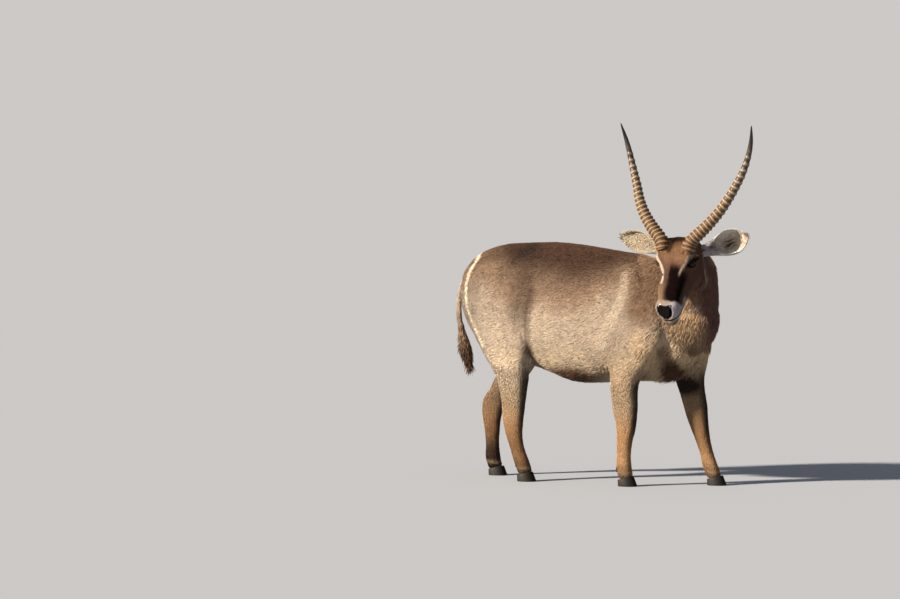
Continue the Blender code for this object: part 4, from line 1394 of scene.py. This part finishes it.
def dewclaw(leg, side):
    """One of the two small false hooves behind each foot."""
    x, y = FEET[leg]
    bpy.ops.mesh.primitive_cone_add(vertices=14, radius1=0.0120, radius2=0.0050, depth=0.026)
    piece = added(f"dewclaw_{leg}_{'left' if side > 0 else 'right'}")
    piece.rotation_euler = (0.0, math.radians(200), 0.0)
    back, apart, up = DEWCLAW_SPOT
    piece.location = Vector((x + back, y + side * apart, up)) + Vector(SHIFT)
    settle(piece)
    apply_modifier(piece, "BEVEL", width=0.003, segments=3)
    bpy.ops.object.shade_smooth()
    wear(piece, hoof_finish_material)
    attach(piece, ROOT)


# ---- the bull ----
hoof_finish_material = hoof_finish()
horn_finish_material = horn_finish()
skin, skin_part = made_skin()
skin_places, skin_normals = places_of(skin.data), normals_of(skin.data)
skin_colours = markings(skin_places, skin_normals, skin_part) * SKIN_SHADE
paint(skin.data, "coat", np.clip(skin_colours, 0.0, 1.0))
bare = np.zeros(len(skin_part))
on_face = skin_part == HEAD
bare[on_face] = bare_skin(head_places(skin_places[on_face]), wet=True)
paint(skin.data, "bare", bare)
wear(skin, skin_finish())
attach(skin, ROOT)
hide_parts(*FLESH, *EARS)

chance = np.random.default_rng(SEED)
place, out, part, spread = roots_of(skin, skin_part, chance)
lie = lie_of(place, out, part)
size = hair_of(place, out, part)
colour = markings(place, out, part)
short_coat = coat_finish("short_coat", roughness=0.66, sheen=0.04)
long_coat = coat_finish("long_coat", roughness=0.60, sheen=0.04)
face_coat = coat_finish("face_coat", roughness=0.75, sheen=0.0, shine=0.03)
names = np.array(PARTS)[part]
body = body_places(place)
in_front, on_right = body[:, 0] > 0.0, body[:, 1] < 0.0
on_trunk, on_leg = names == "trunk", np.char.startswith(names, "leg")
groups = {
    "coat_side_right_fore": on_trunk & on_right & in_front,
    "coat_side_right_rear": on_trunk & on_right & ~in_front,
    "coat_side_left_fore": on_trunk & ~on_right & in_front,
    "coat_side_left_rear": on_trunk & ~on_right & ~in_front,
    "coat_neck": names == "neck",
    "coat_head": names == "head",
    "coat_front_legs": on_leg & in_front,
    "coat_hind_legs": on_leg & ~in_front,
    "coat_tail": names == "tail",
    "coat_ears": np.char.startswith(names, "ear"),
}
for name, chosen in groups.items():
    long = name in LONG_COATS
    droop, rings = LONG_TUFT if long else SHORT_TUFT
    own = [values[chosen] for values in (place, out, lie, size, colour, spread)]
    piece = tufts(name, *own, droop, rings, chance)
    wear(piece, face_coat if name == "coat_head" else long_coat if long else short_coat)
    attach(piece, ROOT)

for side in (-1, 1):
    eyeball(side)
    horn(side)
for node in HOOVES:
    hoof(node)
for leg in FEET:
    for side in (-1, 1):
        dewclaw(leg, side)

# ---- floor, lights and camera ----
def sun(name, towards, strength, colour, angle):
    lamp = bpy.data.lights.new(name, "SUN")
    lamp.energy = strength
    lamp.color = colour
    lamp.angle = math.radians(angle)
    holder = bpy.data.objects.new(name, lamp)
    holder.rotation_euler = Vector(towards).to_track_quat("Z", "Y").to_euler()
    bpy.context.scene.collection.objects.link(holder)


bpy.ops.mesh.primitive_plane_add(size=160.0, location=(0.0, 0.0, 0.0))
floor = added("floor")
settle(floor)
wear(floor, plain_finish("pale_floor", (0.36, 0.375, 0.41), 0.9))

world = bpy.data.worlds.new("studio")
world.use_nodes = True
nodes, links = world.node_tree.nodes, world.node_tree.links
fill = nodes["Background"]
fill.inputs["Color"].default_value = (0.82, 0.88, 1.0, 1.0)
fill.inputs["Strength"].default_value = 0.30
wall = nodes.new("ShaderNodeBackground")
wall.inputs["Color"].default_value = (0.602, 0.582, 0.568, 1.0)
seen = nodes.new("ShaderNodeLightPath")
either = nodes.new("ShaderNodeMixShader")
links.new(seen.outputs["Is Camera Ray"], either.inputs[0])
links.new(fill.outputs[0], either.inputs[1])
links.new(wall.outputs[0], either.inputs[2])
links.new(either.outputs[0], nodes["World Output"].inputs[0])
bpy.context.scene.world = world
bpy.context.scene.view_settings.view_transform = "Standard"

sun("key_light", (-0.62, -0.78, 0.50), 10.0, (1.0, 0.90, 0.76), 4.0)

camera_data = bpy.data.cameras.new("camera")
camera_data.lens = 147.2
camera_data.sensor_width = 36.0
camera_data.clip_end = 400.0
camera = bpy.data.objects.new("camera", camera_data)
CAMERA_TURN, CAMERA_RISE = math.radians(30.0), math.radians(2.0)
camera.location = (9.193, -17.602, 1.688)
camera.rotation_euler = (math.radians(90.0) - CAMERA_RISE, 0.0, CAMERA_TURN)
bpy.context.scene.collection.objects.link(camera)
bpy.context.scene.camera = camera

bpy.context.view_layer.update()
